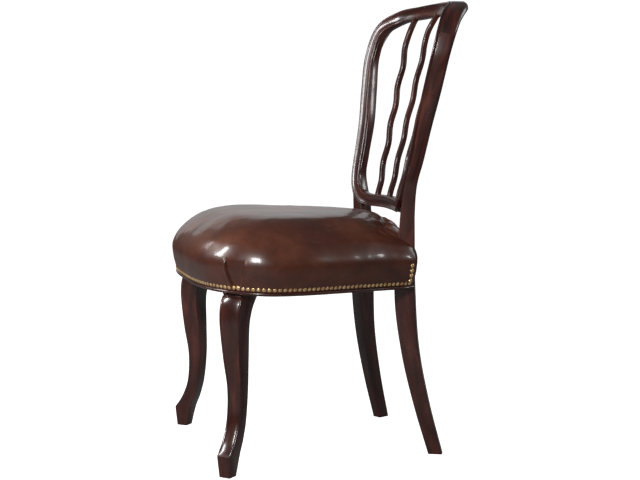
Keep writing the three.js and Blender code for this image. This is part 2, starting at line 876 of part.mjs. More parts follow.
function leftSeatRail() {
  const endPlane = post.front.clone().addScaledVector(post.back, post.depth * sideRailEndShare);
  const rail = onLeftSide(railBand(railInset, railInner), railStop)
    .intersect(sideOf(endPlane, post.back.clone().setZ(0).negate()));
  const postTenon = sideRailPostTenon(0).intersect(postBlank(clothGap));
  return together([without(together([rail, sideRailHead(0)]), [leftPostSpace]), legTenon(1, 0),
    postTenon]);
}

function rearSeatRail() {
  const band = railBand(railInset + rearRailInset, railInner);
  const inward = post.out.clone().setZ(0).negate();
  const rail = band.intersect(sideOf(new THREE.Vector3(), new THREE.Vector3(0, 1, 0)))
    .intersect(sideOf(post.front, inward)).intersect(sideOf(acrossX(post.front), acrossX(inward)));
  const tenon = rearRailPostTenon(0);
  return together([without(rail, [leftPostSpace, rightPostSpace]), tenon, mirrored(tenon)]);
}

// The polished strip below the nails, half round in section
function edgeStrip() {
  const mid = -hemDrop - jointGap - beadHeight / 2;
  const levels = evenShares(-1, 1, stripSteps).map((share) => {
    const swell = Math.sqrt(1 - (share * share * 3) / 4);
    return seatRing(railInset - (railInset + beadStandout) * swell, mid + (share * beadHeight) / 2);
  });
  return loft(levels).subtract(seatSlab(railInset - jointGap, -overrun, overrun));
}

function frontBead() {
  return without(onFrontSide(edgeStrip(), jointGap / 2), [leftLegSpace, rightLegSpace]);
}

function leftBead() {
  const endPlane = post.front.clone().addScaledVector(post.back, post.depth);
  const strip = onLeftSide(edgeStrip(), jointGap / 2)
    .intersect(sideOf(endPlane, post.back.clone().setZ(0).negate()));
  return without(strip, [leftLegSpace, leftPostSpace]);
}

// Leather cover and the stuffing under it

// The leather is drawn down where it passes the posts.
function drawnIn(ring, high) {
  return ring.map((place) => {
    const away = Math.hypot(Math.abs(place.x) - post.front.x, place.y - post.front.y) / postDrawReach;
    return place.setZ(place.z - postDrawIn * high * Math.exp(-away * away));
  });
}

function dome(shares, inset) {
  return shares.map(([across, high]) => drawnIn(seatRing(across * seatFrontDepth + inset,
    THREE.MathUtils.lerp(-hemDrop, coverCrown - inset, high)), high));
}

function openDome(inset) {
  return loft([seatRing(inset, -overrun), ...dome(liningShares, inset)]);
}

// The room behind the post's back face stays bare, also where the post grows thinner.
function behindPost() {
  const reach = post.width * 2;
  const corner = post.innerBack.clone().addScaledVector(post.out, reach)
    .addScaledVector(post.back, reach - (hipDepth - waistDepth) / 2);
  return block(corner, post.out.clone().multiplyScalar(reach),
    post.back.clone().multiplyScalar(reach), up.clone().multiplyScalar(coverCrown * 2));
}

function coverSpaces() {
  const postSpace = postBlank(clothGap);
  const bare = behindPost();
  return [postSpace, mirrored(postSpace), bare, mirrored(bare)];
}

function leatherCover(spaces) {
  const shell = loft(dome(coverShares, 0)).subtract(openDome(coverThickness));
  return without(shell, spaces);
}

function seatPadding(spaces) {
  const whole = openDome(coverThickness + clothGap);
  const skirtEnd = seatSlab(-seatRollLimit, -overrun * 2, paddingSkirtLevel);
  const webbingTop = railAboveNails + strapThickness * 2 + jointGap * 3;
  const frame = seatSlab(railInset - jointGap, -overrun, webbingTop);
  return without(whole, [skirtEnd, frame, ...spaces]);
}

// Webbing: three straps from front to back, and three across on top of them

function strap(centre, layer, alongX) {
  const low = railAboveNails + jointGap + layer * (strapThickness + jointGap);
  const reach = seatFrontDepth + seatWidestWidth;
  const x = alongX ? reach : strapWidth / 2;
  const y = alongX ? strapWidth / 2 : reach;
  const strip = block(onSeat(centre.x, centre.y, low + strapThickness / 2), seatDirection(x, 0),
    seatDirection(0, y), new THREE.Vector3(0, 0, strapThickness / 2));
  const landing = seatSlab(railInset + rearRailInset + strapLanding, low - overrun, low + overrun);
  return strip.intersect(landing);
}

// Corner blocks with the screws that hold them

function cornerBlock(root, along, inward, notch, spaces) {
  const level = railAboveNails - cornerBlockHeight / 2;
  const half = (blockThickness + notch) / 2;
  const place = root.clone().addScaledVector(inward, blockThickness - half);
  const body = block(onSeat(place.x, place.y, level),
    seatDirection(along.x, along.y).multiplyScalar(blockReach),
    seatDirection(inward.x, inward.y).multiplyScalar(half),
    up.clone().multiplyScalar(cornerBlockHeight / 2));
  const cavity = seatSlab(railInner + jointGap, -overrun, railAboveNails + overrun);
  return without(body.intersect(cavity), spaces);
}

function screwAt(root, along, inward, offset, grow) {
  const start = root.clone().addScaledVector(inward, blockThickness).addScaledVector(along, offset);
  const centre = onSeat(start.x, start.y, screwLevel);
  const stations = [
    [jointGap + screwHeadHeight, screwHeadRadius / 2],
    [jointGap + screwHeadHeight / 2, screwHeadRadius],
    [jointGap, screwHeadRadius],
    [jointGap, screwShankRadius],
    [-screwLength + screwShankRadius * 2, screwShankRadius],
    [-screwLength, screwShankRadius / 4],
  ];
  const rings = stations.map(([out, radius]) => Array.from({ length: screwSides }, (_, k) => {
    const angle = (2 * Math.PI * k) / screwSides;
    return centre.clone().addScaledVector(inward, out + grow * Math.sign(out + screwLength / 2))
      .addScaledVector(along, (radius + grow) * Math.cos(angle))
      .addScaledVector(up, (radius + grow) * Math.sin(angle));
  }));
  return loft(rings);
}

// Where each left hand corner block and its screws go
const frontCorner = {
  root: legCentre.clone().addScaledVector(legOut, -blockBack - jointGap),
  along: legAlong,
  inward: legOut.clone().negate(),
  notch: blockNotch,
  offsets: [-screwSpread, screwSpread],
};
const postForward = post.back.clone().setZ(0).normalize().negate();
const postSideways = post.out.clone().setZ(0).normalize();
const rearCorner = {
  root: post.front.clone().addScaledVector(postForward, jointGap),
  along: postSideways,
  inward: postForward,
  notch: blockNotch / 2,
  offsets: [-screwSpread, -screwShankRadius * 3],
};

function screwsOf(corner, grow) {
  return corner.offsets.map((offset) => screwAt(corner.root, corner.along, corner.inward, offset,
    grow));
}

function cornerBlockOf(corner) {
  return cornerBlock(corner.root, corner.along, corner.inward, corner.notch,
    [leftLegSpace, leftPostSpace, sideRailHead(jointGap)]);
}

function dustCover() {
  const high = -railBelowNails - jointGap;
  return without(seatSlab(railInset + dustInset, high - dustThickness, high), frameSpaces);
}

// Putting the chair together

const leftScrewHoles = together([...screwsOf(frontCorner, jointGap), ...screwsOf(rearCorner,
  jointGap)]);
const rightScrewHoles = mirrored(leftScrewHoles);

function leftPost() {
  const sockets = [lowerRailTenon(jointGap), sideRailPostTenon(jointGap),
    rearRailPostTenon(jointGap), leftScrewHoles];
  return without(postBlank(0), sockets).add(crestTenon(0));
}

function leftFrontLeg() {
  return without(frontLegBlank(0), [legTenon(-1, jointGap), legTenon(1, jointGap)]);
}

function crestRail(splatSockets) {
  const socket = crestTenon(jointGap);
  return without(crestBlank(0), [socket, mirrored(socket), ...splatSockets]);
}

function lowerBackRail(splatSockets) {
  const tenon = lowerRailTenon(0);
  const rail = without(railBlank(0), [leftPostSpace, rightPostSpace, ...splatSockets]);
  return together([rail, tenon, mirrored(tenon)]);
}

function backNodes() {
  const wood = polishedWood();
  const places = [['splat_right', -1], ['splat_centre', 0], ['splat_left', 1]];
  const sockets = places.flatMap(([, place]) => splatTenons(place, jointGap));
  const cutters = [railBlank(jointGap), crestBlank(jointGap)];
  const left = leftPost();
  return [
    node('rear_post_left', left, wood),
    node('rear_post_right', mirrored(left), wood),
    node('crest_rail', crestRail(sockets), wood),
    node('lower_back_rail', lowerBackRail(sockets), wood),
    ...places.map(([name, place]) => node(name, splat(place, cutters), wood)),
  ];
}

function seatFrameNodes() {
  const polished = polishedWood();
  const plain = plainWood();
  const leg = leftFrontLeg();
  const holes = [leftScrewHoles, rightScrewHoles];
  const sideRail = without(leftSeatRail(), holes);
  const bead = leftBead();
  return [
    node('front_leg_left', leg, polished),
    node('front_leg_right', mirrored(leg), polished),
    node('front_seat_rail', without(frontSeatRail(), holes), plain),
    node('side_seat_rail_left', sideRail, plain),
    node('side_seat_rail_right', mirrored(sideRail), plain),
    node('rear_seat_rail', without(rearSeatRail(), holes), plain),
    node('edge_bead_front', frontBead(), polished),
    node('edge_bead_left', bead, polished),
    node('edge_bead_right', mirrored(bead), polished),
  ];
}

function cornerNodes() {
  const wood = plainWood();
  const metal = steel();
  const nodes = [];
  for (const [name, corner] of [['front', frontCorner], ['rear', rearCorner]]) {
    const body = cornerBlockOf(corner).subtract(leftScrewHoles);
    nodes.push(node(`corner_block_${name}_left`, body, wood));
    nodes.push(node(`corner_block_${name}_right`, mirrored(body), wood));
    screwsOf(corner, 0).forEach((screw, k) => {
      nodes.push(node(`screw_${name}_left_${k + 1}`, screw, metal));
      nodes.push(node(`screw_${name}_right_${k + 1}`, mirrored(screw), metal));
    });
  }
  return nodes;
}

function seatNodes() {
  const jute = juteWebbing();
  const spaces = coverSpaces();
  const nodes = [];
  [-1, 0, 1].forEach((place, k) => {
    const shift = place * strapSpacing;
    nodes.push(node(`webbing_strap_deep_${k + 1}`, strap(new THREE.Vector3(shift, 0, 0), 0, false),
      jute));
    nodes.push(node(`webbing_strap_cross_${k + 1}`, strap(new THREE.Vector3(0, shift, 0), 1, true),
      jute));
  });
  nodes.push(node('seat_padding', seatPadding(spaces), stuffing()));
  nodes.push(node('leather_cover', leatherCover(spaces), glossyLeather()));
  nodes.push(node('dust_cover', dustCover(), blackCloth()));
  return nodes;
}

const chair = new THREE.Group();
chair.name = 'shield_back_chair';
chair.add(...backNodes(), ...seatFrameNodes(), ...cornerNodes(), ...seatNodes());

// The middle of the chair's outer box stands over the origin.
const outerBox = new THREE.Box3().setFromObject(chair);
chair.position.y = -(outerBox.min.y + outerBox.max.y) / 2;

export default chair;
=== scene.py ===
import math

import bmesh
import bpy
from mathutils import Matrix, Vector, noise


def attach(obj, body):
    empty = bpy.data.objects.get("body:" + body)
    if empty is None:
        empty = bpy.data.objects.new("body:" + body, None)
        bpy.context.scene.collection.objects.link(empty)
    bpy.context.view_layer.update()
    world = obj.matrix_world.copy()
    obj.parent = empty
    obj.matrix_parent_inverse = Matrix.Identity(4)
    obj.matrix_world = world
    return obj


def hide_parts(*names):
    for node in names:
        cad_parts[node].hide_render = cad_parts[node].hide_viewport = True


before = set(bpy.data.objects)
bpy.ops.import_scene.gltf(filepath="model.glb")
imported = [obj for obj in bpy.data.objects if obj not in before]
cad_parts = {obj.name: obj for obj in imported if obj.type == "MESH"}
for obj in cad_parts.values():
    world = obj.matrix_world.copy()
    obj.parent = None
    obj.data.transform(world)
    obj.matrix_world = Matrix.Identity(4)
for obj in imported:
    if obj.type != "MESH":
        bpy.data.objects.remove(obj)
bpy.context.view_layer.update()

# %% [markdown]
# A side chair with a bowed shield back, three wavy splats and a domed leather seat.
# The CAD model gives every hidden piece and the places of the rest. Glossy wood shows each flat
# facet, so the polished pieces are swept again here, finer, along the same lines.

MM = 0.001

# %% [markdown]
# The chair faces -Y, the sitter's left is +X and the floor is z = 0. The drawing has its own
# middle. The CAD model was moved forward so that its outer box stands over the origin, and every
# piece made here is moved by the same amount when it is finished.

# %% The shift to the middle of the box
centre_shift = -20.987 * MM

# %% [markdown]
# A few curves carry the whole chair, such as how wide a leg is at a height. Each is a short list
# of places and values, and a smooth curve is read through it. It could be a Bezier curve object,
# but plain numbers are easier to read off at any height.

# %% Reading smooth curves


def mix(first, second, share):
    return first + (second - first) * share


def smooth_step(value, low, high):
    share = min(max((value - low) / (high - low), 0), 1)
    return share * share * (3 - 2 * share)


def reading(pairs):
    last = len(pairs) - 1

    def slope(k):
        before = pairs[max(k - 1, 0)]
        after = pairs[min(k + 1, last)]
        return (after[1] - before[1]) / (after[0] - before[0])

    def value_at(place):
        if place <= pairs[0][0]:
            return pairs[0][1]
        if place >= pairs[last][0]:
            return pairs[last][1]
        k = next(i for i in range(last) if pairs[i + 1][0] > place)
        span = pairs[k + 1][0] - pairs[k][0]
        share = (place - pairs[k][0]) / span
        ease = share * share * (3 - 2 * share)
        leave = slope(k) * span * share * (1 - share) ** 2
        arrive = slope(k + 1) * span * share * share * (share - 1)
        return pairs[k][1] + (pairs[k + 1][1] - pairs[k][1]) * ease + leave + arrive

    return value_at


def spread(start, end, steps):
    return [start + (end - start) * k / steps for k in range(steps + 1)]


# %% [markdown]
# The middle line of the wood is a centripetal Catmull-Rom curve: it passes through each drawn
# point and never loops between close ones. Steps of equal length come from a table of lengths.

# %% A curve through points


def catmull(points, place, closed):
    count = len(points)
    spans = count if closed else count - 1
    place = min(max(place, 0), 1) * spans
    k = min(int(place), spans - 1)
    share = place - k
    if closed:
        four = [points[(k + i) % count] for i in (-1, 0, 1, 2)]
    else:
        first = points[k - 1] if k > 0 else 2 * points[0] - points[1]
        after = points[k + 2] if k + 2 < count else 2 * points[-1] - points[-2]
        four = [first, points[k], points[k + 1], after]
    a, b, c, d = four
    before, across, beyond = (max((q - p).length, 1e-9) ** 0.5 for p, q in ((a, b), (b, c), (c, d)))
    leave = (b - a) / before - (c - a) / (before + across) + (c - b) / across
    arrive = (c - b) / across - (d - b) / (across + beyond) + (d - c) / beyond
    leave = leave * across
    arrive = arrive * across
    second = 3 * (c - b) - 2 * leave - arrive
    third = 2 * (b - c) + leave + arrive
    return b + leave * share + second * share**2 + third * share**3


class Run:
    """A curve with places given as shares of its length."""

    def __init__(self, points, closed=False, parts=1200):
        self.points = points
        self.closed = closed
        self.places = [k / parts for k in range(parts + 1)]
        line = [catmull(points, place, closed) for place in self.places]
        self.lengths = [0.0]
        for first, second in zip(line, line[1:]):
            self.lengths.append(self.lengths[-1] + (second - first).length)
        self.length = self.lengths[-1]

    def place_of(self, share):
        goal = min(max(share, 0), 1) * self.length
        low, high = 0, len(self.lengths) - 1
        while high - low > 1:
            middle = (low + high) // 2
            if self.lengths[middle] <= goal:
                low = middle
            else:
                high = middle
        part = (goal - self.lengths[low]) / (self.lengths[high] - self.lengths[low])
        return mix(self.places[low], self.places[high], part)

    def at(self, share):
        return catmull(self.points, self.place_of(share), self.closed)

    def direction(self, share):
        place = self.place_of(share)
        step = 1e-4
        if self.closed:
            ahead = catmull(self.points, (place + step) % 1, True)
            behind = catmull(self.points, (place - step) % 1, True)
        else:
            ahead = catmull(self.points, place + step, False)
            behind = catmull(self.points, place - step, False)
        return (ahead - behind).normalized()

    def share_where(self, holds):
        """The share at which holds turns from true to false, found by halving."""
        low, high = 0.0, 1.0
        while high - low > 1e-7:
            share = (low + high) / 2
            if holds(self.at(share)):
                low = share
            else:
                high = share
        return low


# %% [markdown]
# Wood and leather are both skins over a row of outlines. create_grid makes one row of faces for
# each step, the grid's corners are laid on the outlines, remove_doubles closes the seam and
# holes_fill closes the ends. The grid also gives a UV map in metres, so that the grain can run
# along each piece, as it does in a real one.

# %% Skinning a run of outlines


def skin(rings, level_foot=False):
    bm = bmesh.new()
    count = len(rings[0])
    bmesh.ops.create_grid(bm, x_segments=count, y_segments=len(rings) - 1, size=1.0)
    bm.verts.ensure_lookup_table()
    uv = bm.loops.layers.uv.verify()
    along = [0.0]
    for first, second in zip(rings, rings[1:]):
        along.append(along[-1] + (second[0] - first[0]).length)
    around = [0.0]
    for first, second in zip(rings[0], rings[0][1:] + rings[0][:1]):
        around.append(around[-1] + (second - first).length)
    places = {}
    for k in range(len(rings) * (count + 1)):
        row, column = divmod(k, count + 1)
        vert = bm.verts[k]
        vert.co = rings[row][column % count]
        places[vert] = (along[row], around[column])
    for face in bm.faces:
        for loop in face.loops:
            loop[uv].uv = places[loop.vert]
    bmesh.ops.remove_doubles(bm, verts=list(places), dist=1e-7)
    if level_foot:
        keep_above_floor(bm)
    fill_holes(bm)
    return bm


def keep_above_floor(bm):
    everything = bm.verts[:] + bm.edges[:] + bm.faces[:]
    bmesh.ops.bisect_plane(bm, geom=everything, plane_co=(0, 0, 0), plane_no=(0, 0, 1),
                           clear_inner=True)


def fill_holes(bm):
    open_edges = [edge for edge in bm.edges if edge.is_boundary]
    bmesh.ops.holes_fill(bm, edges=open_edges, sides=0)


# %% [markdown]
# Every piece is finished the same way: mirrored if it is the right one of a pair, moved with the
# whole chair, its faces turned outwards, and its hard edges kept crisp by their angle.

# %% Finishing a piece


def as_mesh(name, bm):
    mesh = bpy.data.meshes.new(name)
    bm.to_mesh(mesh)
    bm.free()
    return mesh


def joined(first, second):
    held = as_mesh("held", second)
    first.from_mesh(held)
    bpy.data.meshes.remove(held)
    return first


def placed(name, data):
    thing = bpy.data.objects.new(name, data)
    bpy.context.scene.collection.objects.link(thing)
    return thing


def turned_to(place, direction, axis):
    return Matrix.Translation(place) @ direction.to_track_quat(axis, "Y").to_matrix().to_4x4()


def finish(name, bm, material, replaced=(), sharp=38, mirror=False):
    if mirror:
        bmesh.ops.scale(bm, vec=(-1, 1, 1), verts=bm.verts)
    bmesh.ops.translate(bm, vec=(0, centre_shift, 0), verts=bm.verts)
    bmesh.ops.recalc_face_normals(bm, faces=bm.faces)
    mesh = as_mesh(name, bm)
    mesh.shade_smooth()
    mesh.set_sharp_from_angle(angle=math.radians(sharp))
    mesh.materials.append(material)
    piece = placed(name, mesh)
    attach(piece, "root")
    if replaced:
        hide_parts(*replaced)
    print(name, len(mesh.polygons), "faces")
    return piece


# %% [markdown]
# Each finish is a small tree of nodes. A few helpers make what they share: the material, constants
# on a node's own sockets, a stretched noise, a ramp of colours, a range for the roughness and a
# bump. The nodes could be set up by hand in the editor, but here each finish reads as a short list.

# %% Helpers for the finishes


def new_material(name):
    material = bpy.data.materials.new(name)
    material.use_nodes = True
    nodes = material.node_tree.nodes
    return material, nodes, material.node_tree.links, nodes["Principled BSDF"]


def preset(node, values):
    for socket, value in values.items():
        node.inputs[socket].default_value = value


def stretched_noise(nodes, links, source, scale, detail=4.0, rough=0.55, distortion=0.0):
    coords = nodes.new("ShaderNodeTexCoord")
    mapping = nodes.new("ShaderNodeMapping")
    preset(mapping, {"Scale": scale})
    links.new(coords.outputs[source], mapping.inputs["Vector"])
    pattern = nodes.new("ShaderNodeTexNoise")
    preset(pattern, {"Scale": 1, "Detail": detail, "Roughness": rough, "Distortion": distortion})
    links.new(mapping.outputs["Vector"], pattern.inputs["Vector"])
    return pattern.outputs["Fac"]


def ramp(nodes, links, value, stops):
    made = nodes.new("ShaderNodeValToRGB")
    elements = made.color_ramp.elements
    while len(elements) < len(stops):
        elements.new(0.5)
    for element, (place, colour) in zip(elements, stops):
        element.position = place
        element.color = (*colour, 1)
    links.new(value, made.inputs["Fac"])
    return made.outputs["Color"]


def ranged(nodes, links, value, low, high):
    made = nodes.new("ShaderNodeMapRange")
    preset(made, {"To Min": low, "To Max": high})
    links.new(value, made.inputs["Value"])
    return made.outputs["Result"]


def bumped(nodes, links, value, strength, distance, under=None):
    made = nodes.new("ShaderNodeBump")
    preset(made, {"Strength": strength, "Distance": distance})
    links.new(value, made.inputs["Height"])
    if under is not None:
        links.new(under, made.inputs["Normal"])
    return made.outputs["Normal"]


# %% [markdown]
# The finish of the frame is an old polish over mahogany: a dark red brown, lighter in its worn
# streaks, under a hard clear coat. The colour is a noise stretched along the grain, the pores are
# a faint bump, and the coat is a constant of the shader.

# %% Polished mahogany


def polished_mahogany():
    material, nodes, links, shader = new_material("polished_mahogany")
    dark_streak = (0.019, 0.0047, 0.0036)
    red_brown = (0.062, 0.0135, 0.009)
    worn_streak = (0.14, 0.034, 0.02)
    streaks = stretched_noise(nodes, links, "UV", (7, 55, 1), detail=5, distortion=0.6)
    colour = ramp(nodes, links, streaks, [(0.3, dark_streak), (0.52, red_brown), (0.68, worn_streak)])
    links.new(colour, shader.inputs["Base Color"])
    haze = stretched_noise(nodes, links, "Object", (30, 30, 30), detail=3)
    links.new(ranged(nodes, links, haze, 0.2, 0.4), shader.inputs["Roughness"])
    pores = stretched_noise(nodes, links, "UV", (20, 260, 1), detail=2)
    links.new(bumped(nodes, links, pores, 0.03, 0.2 * MM), shader.inputs["Normal"])
    preset(shader, {"Coat Weight": 0.7, "Coat Roughness": 0.14})
    return material


mahogany = polished_mahogany()
print("finish of the frame", mahogany.name)

# %% [markdown]
# The back lies on a bowed surface that leans back and rolls over at the crest. Points of the
# frame are drawn from the front, as a half width and a height, and dropped onto that surface.
# The lower rail is bowed less than the crest, so near its middle it has a surface of its own,
# which runs into the other one towards the posts.

# %% The surface of the back
base_height = 560 * MM
base_setback = 195 * MM
back_run = 377 * MM
back_rake = 91 * MM
back_bow_radius = 560 * MM
roll_height = 915 * MM
roll_span = 52 * MM
roll_setback = 20 * MM
rail_bow_radius = 820 * MM
rail_bow_end = 95 * MM
rail_joint_place = 141 * MM
print("the back leans", round(math.degrees(math.atan2(back_rake, back_run)), 1), "degrees")


def bow(x, radius):
    return radius - math.sqrt(radius * radius - x * x)


def rolled_share(z):
    return max(z - roll_height, 0) / roll_span


def raked_setback(z):
    straight = base_setback + back_rake * (z - base_height) / back_run
    return straight + roll_setback * rolled_share(z) ** 2


def back_facing(x, z):
    slope = (back_rake / back_run) * max(1 - rolled_share(z), 0)
    sideways = x / math.sqrt(back_bow_radius**2 - x * x)
    return Vector((sideways, 1, -slope)).normalized()


def on_back(x, z):
    return Vector((x, raked_setback(z) - bow(x, back_bow_radius), z))


def square_to(run, back):
    """The way back, turned until it is square to the run."""
    return (back - run * run.dot(back)).normalized()


def side_share(x):
    return smooth_step(abs(x), rail_bow_end, rail_joint_place)


def on_ring(x, z):
    low = raked_setback(z) - bow(x, rail_bow_radius)
    return Vector((x, mix(low, on_back(x, z).y, side_share(x)), z))


# %% [markdown]
# A post's middle line sweeps back to the foot, stands nearly straight past the seat and then
# follows the side of the shield. It is drawn a little past the crown, so that the curve runs level
# there.

# %% The line of a post
foot_half_spread = 182.5 * MM
foot_setback = 237 * MM
calf_height = 110 * MM
calf_half_spread = 169 * MM
calf_setback = 209 * MM
thigh_height = 225 * MM
thigh_half_spread = 157 * MM
thigh_setback = 187 * MM
seat_level = 350 * MM
seat_half_spread = 148 * MM
seat_setback = 177 * MM
waist_height = 510 * MM
waist_half_spread = 155 * MM
waist_setback = 178.5 * MM

hoop_foot_height = 592 * MM
hoop_foot_half_width = 171 * MM
cheek_height = 640 * MM
cheek_half_width = 175.5 * MM
side_height = 715 * MM
side_half_width = 186 * MM
flare_height = 790 * MM
flare_half_width = 203 * MM
widest_height = 872 * MM
widest_half_width = 217 * MM
shoulder_height = 931 * MM
shoulder_half_width = 204.5 * MM
arch_height = 959.5 * MM
arch_half_width = 160 * MM
crown_side_height = 966.5 * MM
crown_side_half_width = 85 * MM
crown_height = 968.5 * MM

shield_side = [
    on_back(side_half_width, side_height),
    on_back(flare_half_width, flare_height),
    on_back(widest_half_width, widest_height),
    on_back(shoulder_half_width, shoulder_height),
    on_back(arch_half_width, arch_height),
    on_back(crown_side_half_width, crown_side_height),
    on_back(0, crown_height),
    on_back(-crown_side_half_width, crown_side_height),
]
post_line = Run([
    Vector((foot_half_spread, foot_setback, 0)),
    Vector((calf_half_spread, calf_setback, calf_height)),
    Vector((thigh_half_spread, thigh_setback, thigh_height)),
    Vector((seat_half_spread, seat_setback, seat_level)),
    Vector((waist_half_spread, waist_setback, waist_height)),
    on_back(hoop_foot_half_width, hoop_foot_height),
    on_back(cheek_half_width, cheek_height),
    *shield_side,
])
print("post line", round(post_line.length, 3), "m")

# %% [markdown]
# A post is one length of wood from the floor to the crest. Its body is a plain bar with soft
# edges, thicker on the outer side of the shield than on the inner. Its edges could be bevelled
# afterwards, but drawn in the outline they can soften with the height.

# %% Outline of the frame's body
hoop_width = 29 * MM
leg_width = reading([(0, 23 * MM), (thigh_height, 30.7 * MM), (seat_level, 33 * MM),
                     (waist_height, 30.5 * MM), (hoop_foot_height, hoop_width),
                     (crown_height, hoop_width)])
leg_depths = [(0, 29 * MM), (calf_height, 33 * MM), (thigh_height, 38 * MM), (seat_level, 44 * MM),
              (waist_height, 32 * MM)]
outer_depth = reading(leg_depths + [(cheek_height, 34 * MM), (side_height, 36 * MM),
                                    (flare_height, 39 * MM), (widest_height, 39.5 * MM),
                                    (shoulder_height, 43 * MM), (arch_height, 43.5 * MM),
                                    (crown_height, 40 * MM)])
inner_depth = reading(leg_depths + [(cheek_height, 24 * MM), (side_height, 28 * MM),
                                    (flare_height, 28 * MM), (widest_height, 24 * MM),
                                    (arch_height, 22 * MM), (crown_height, 23 * MM)])
leg_edge = 2.2 * MM
hoop_edge = 6 * MM
crest_edge = 12 * MM
print("leg at the seat", round(leg_width(seat_level) / MM, 1), "by", round(outer_depth(seat_level) / MM, 1))


def arc(centre_w, centre_n, radius, start, end, steps):
    angles = [math.radians(angle) for angle in spread(start, end, steps)]
    return [(centre_w + radius * math.cos(a), centre_n + radius * math.sin(a)) for a in angles]


def edge_at(z):
    """The edges at the back are softer on the shield than on the leg, and round on the crest."""
    soft = mix(leg_edge, hoop_edge, smooth_step(z, waist_height, cheek_height))
    return mix(soft, crest_edge, smooth_step(z, widest_height, arch_height))


def body_outline(width, outer, inner, recess, back_edge):
    half = width / 2
    middle = (outer + inner) / 4
    front = recess - middle
    e = leg_edge
    outline = arc(half - e, front + e, e, 0, -90, 4)
    outline += arc(e - half, front + e, e, -90, -180, 4)
    outline += arc(e - half, inner - middle - e, e, 180, 90, 4)
    outline += arc(half - back_edge, outer - middle - back_edge, back_edge, 90, 0, 7)
    return outline


# %% [markdown]
# At each step the outline is laid square to the line. Below the seat it faces along the leg's own
# turn, and above it turns to face as the back does. The sweep starts below the floor and is cut
# level. Just below the shield the face is set back, because the moulding lies on it from there.

# %% Sweeping the body of a post
leg_turn = math.radians(25)
face_recess = 6.3 * MM
recess_start = 515 * MM
foot_overrun = 30 * MM
post_steps = 150


def post_axes(share):
    point = post_line.at(share)
    run = post_line.direction(share)
    leg_facing = Vector((math.sin(leg_turn), math.cos(leg_turn), 0))
    rise = smooth_step(point.z, seat_level, cheek_height)
    back = leg_facing.lerp(back_facing(point.x, point.z), rise)
    back = square_to(run, back)
    return point, run, back, back.cross(run)


def share_at_height(height):
    return post_line.share_where(lambda point: point.x > arch_half_width / 2 and point.z < height)


def laid(point, out, back, outline):
    return [point + out * w + back * n for w, n in outline]


def post_body_rings(end):
    rings = []
    for share in spread(0, end, post_steps):
        point, run, back, out = post_axes(share)
        z = point.z
        recess = face_recess * smooth_step(z, recess_start, hoop_foot_height)
        outline = body_outline(leg_width(z), outer_depth(z), inner_depth(z), recess, edge_at(z))
        rings.append(laid(point, out, back, outline))
    down = post_line.direction(0) * -foot_overrun
    return [[place + down for place in rings[0]], *rings]


# %% [markdown]
# One moulding runs right round the shield: a bead on the outer edge, a bead on the inner edge
# and a hollow between. On the real chair it is carved through the joints, so here it is one line
# that turns the lower corners over the posts, and it is only cut where the joints are.

# %% Outline of the moulding
bead_size = 5.5 * MM
bead_neck = 1.2 * MM
bead_neck_share = 1.1
bead_start_degrees = 52
bead_end_degrees = -150
quirk_width = 0.6 * MM
quirk_depth = 1.5 * MM
hollow_depth = 2.8 * MM
hollow_fullness = 0.7
strip_depth = 9 * MM
print("hollow between the beads", round((hoop_width - 2 * bead_size) / MM, 1), "mm wide")


def moulding(width, front):
    half = width / 2
    r = bead_size / 2
    neck = half - bead_neck
    outer = [(neck, front + strip_depth), (neck, front + bead_neck_share * bead_size)]
    outer += arc(half - r, front + r, r, bead_start_degrees, bead_end_degrees, 14)
    inner = [(-w, n) for w, n in outer[::-1]]
    floor = half - bead_size - quirk_width
    hollow = []
    for share in spread(-1, 1, 12):
        depth = mix(quirk_depth, hollow_depth, math.cos(share * math.pi / 2) ** hollow_fullness)
        hollow.append((-share * floor, front + depth))
    return outer + hollow + inner


# %% [markdown]
# The ring is drawn from just beyond the middle of the lower rail, round the sitter's left corner
# and up that side to the crown. Only this half is swept. The rail and the crest are mirrored, and
# the right post is a mirrored left one.

# %% The line of the moulded ring
rail_top = 551.5 * MM
rail_height = 27 * MM
rail_depth = 23 * MM
low_corner = [(-60, 536.9), (0, 538), (60, 536.9), (109, 536), (131, 540.5), (147, 550.5),
              (159, 564.5), (168, 585), (173.5, 612), (177.5, 645)]
ring_line = Run([on_ring(w * MM, z * MM) for w, z in low_corner] + shield_side)
print("ring line", round(ring_line.length, 3), "m")


def ring_axes(share):
    point = ring_line.at(share)
    run = ring_line.direction(share)
    rail_back = Vector((point.x / rail_bow_radius, 1, 0)).normalized()
    back = rail_back.lerp(back_facing(point.x, point.z), side_share(point.x))
    back = square_to(run, back)
    return point, run, back, back.cross(run)


def ring_rings(start, end, steps, section):
    rings = []
    for share in spread(start, end, steps):
        point, run, back, out = ring_axes(share)
        tall = side_share(point.x) if point.z < cheek_height else 1
        width = mix(rail_height, hoop_width, tall)
        outer = mix(rail_depth, outer_depth(max(point.z, cheek_height)), tall)
        inner = mix(rail_depth, inner_depth(max(point.z, cheek_height)), tall)
        if section == "moulding":
            outline = moulding(width, -(outer + inner) / 4)
        else:
            outline = body_outline(width, outer, inner, face_recess, edge_at(point.z))
        rings.append(laid(point, out, back, outline))
    return rings


# %% [markdown]
# Four pieces of wood share the ring: two posts, the crest and the lower rail. They meet where a
# maker would cut the joints, at the shoulders and beside the lower corners. A gap of a hair's
# breadth is left there, so that the joint shows as a fine line.

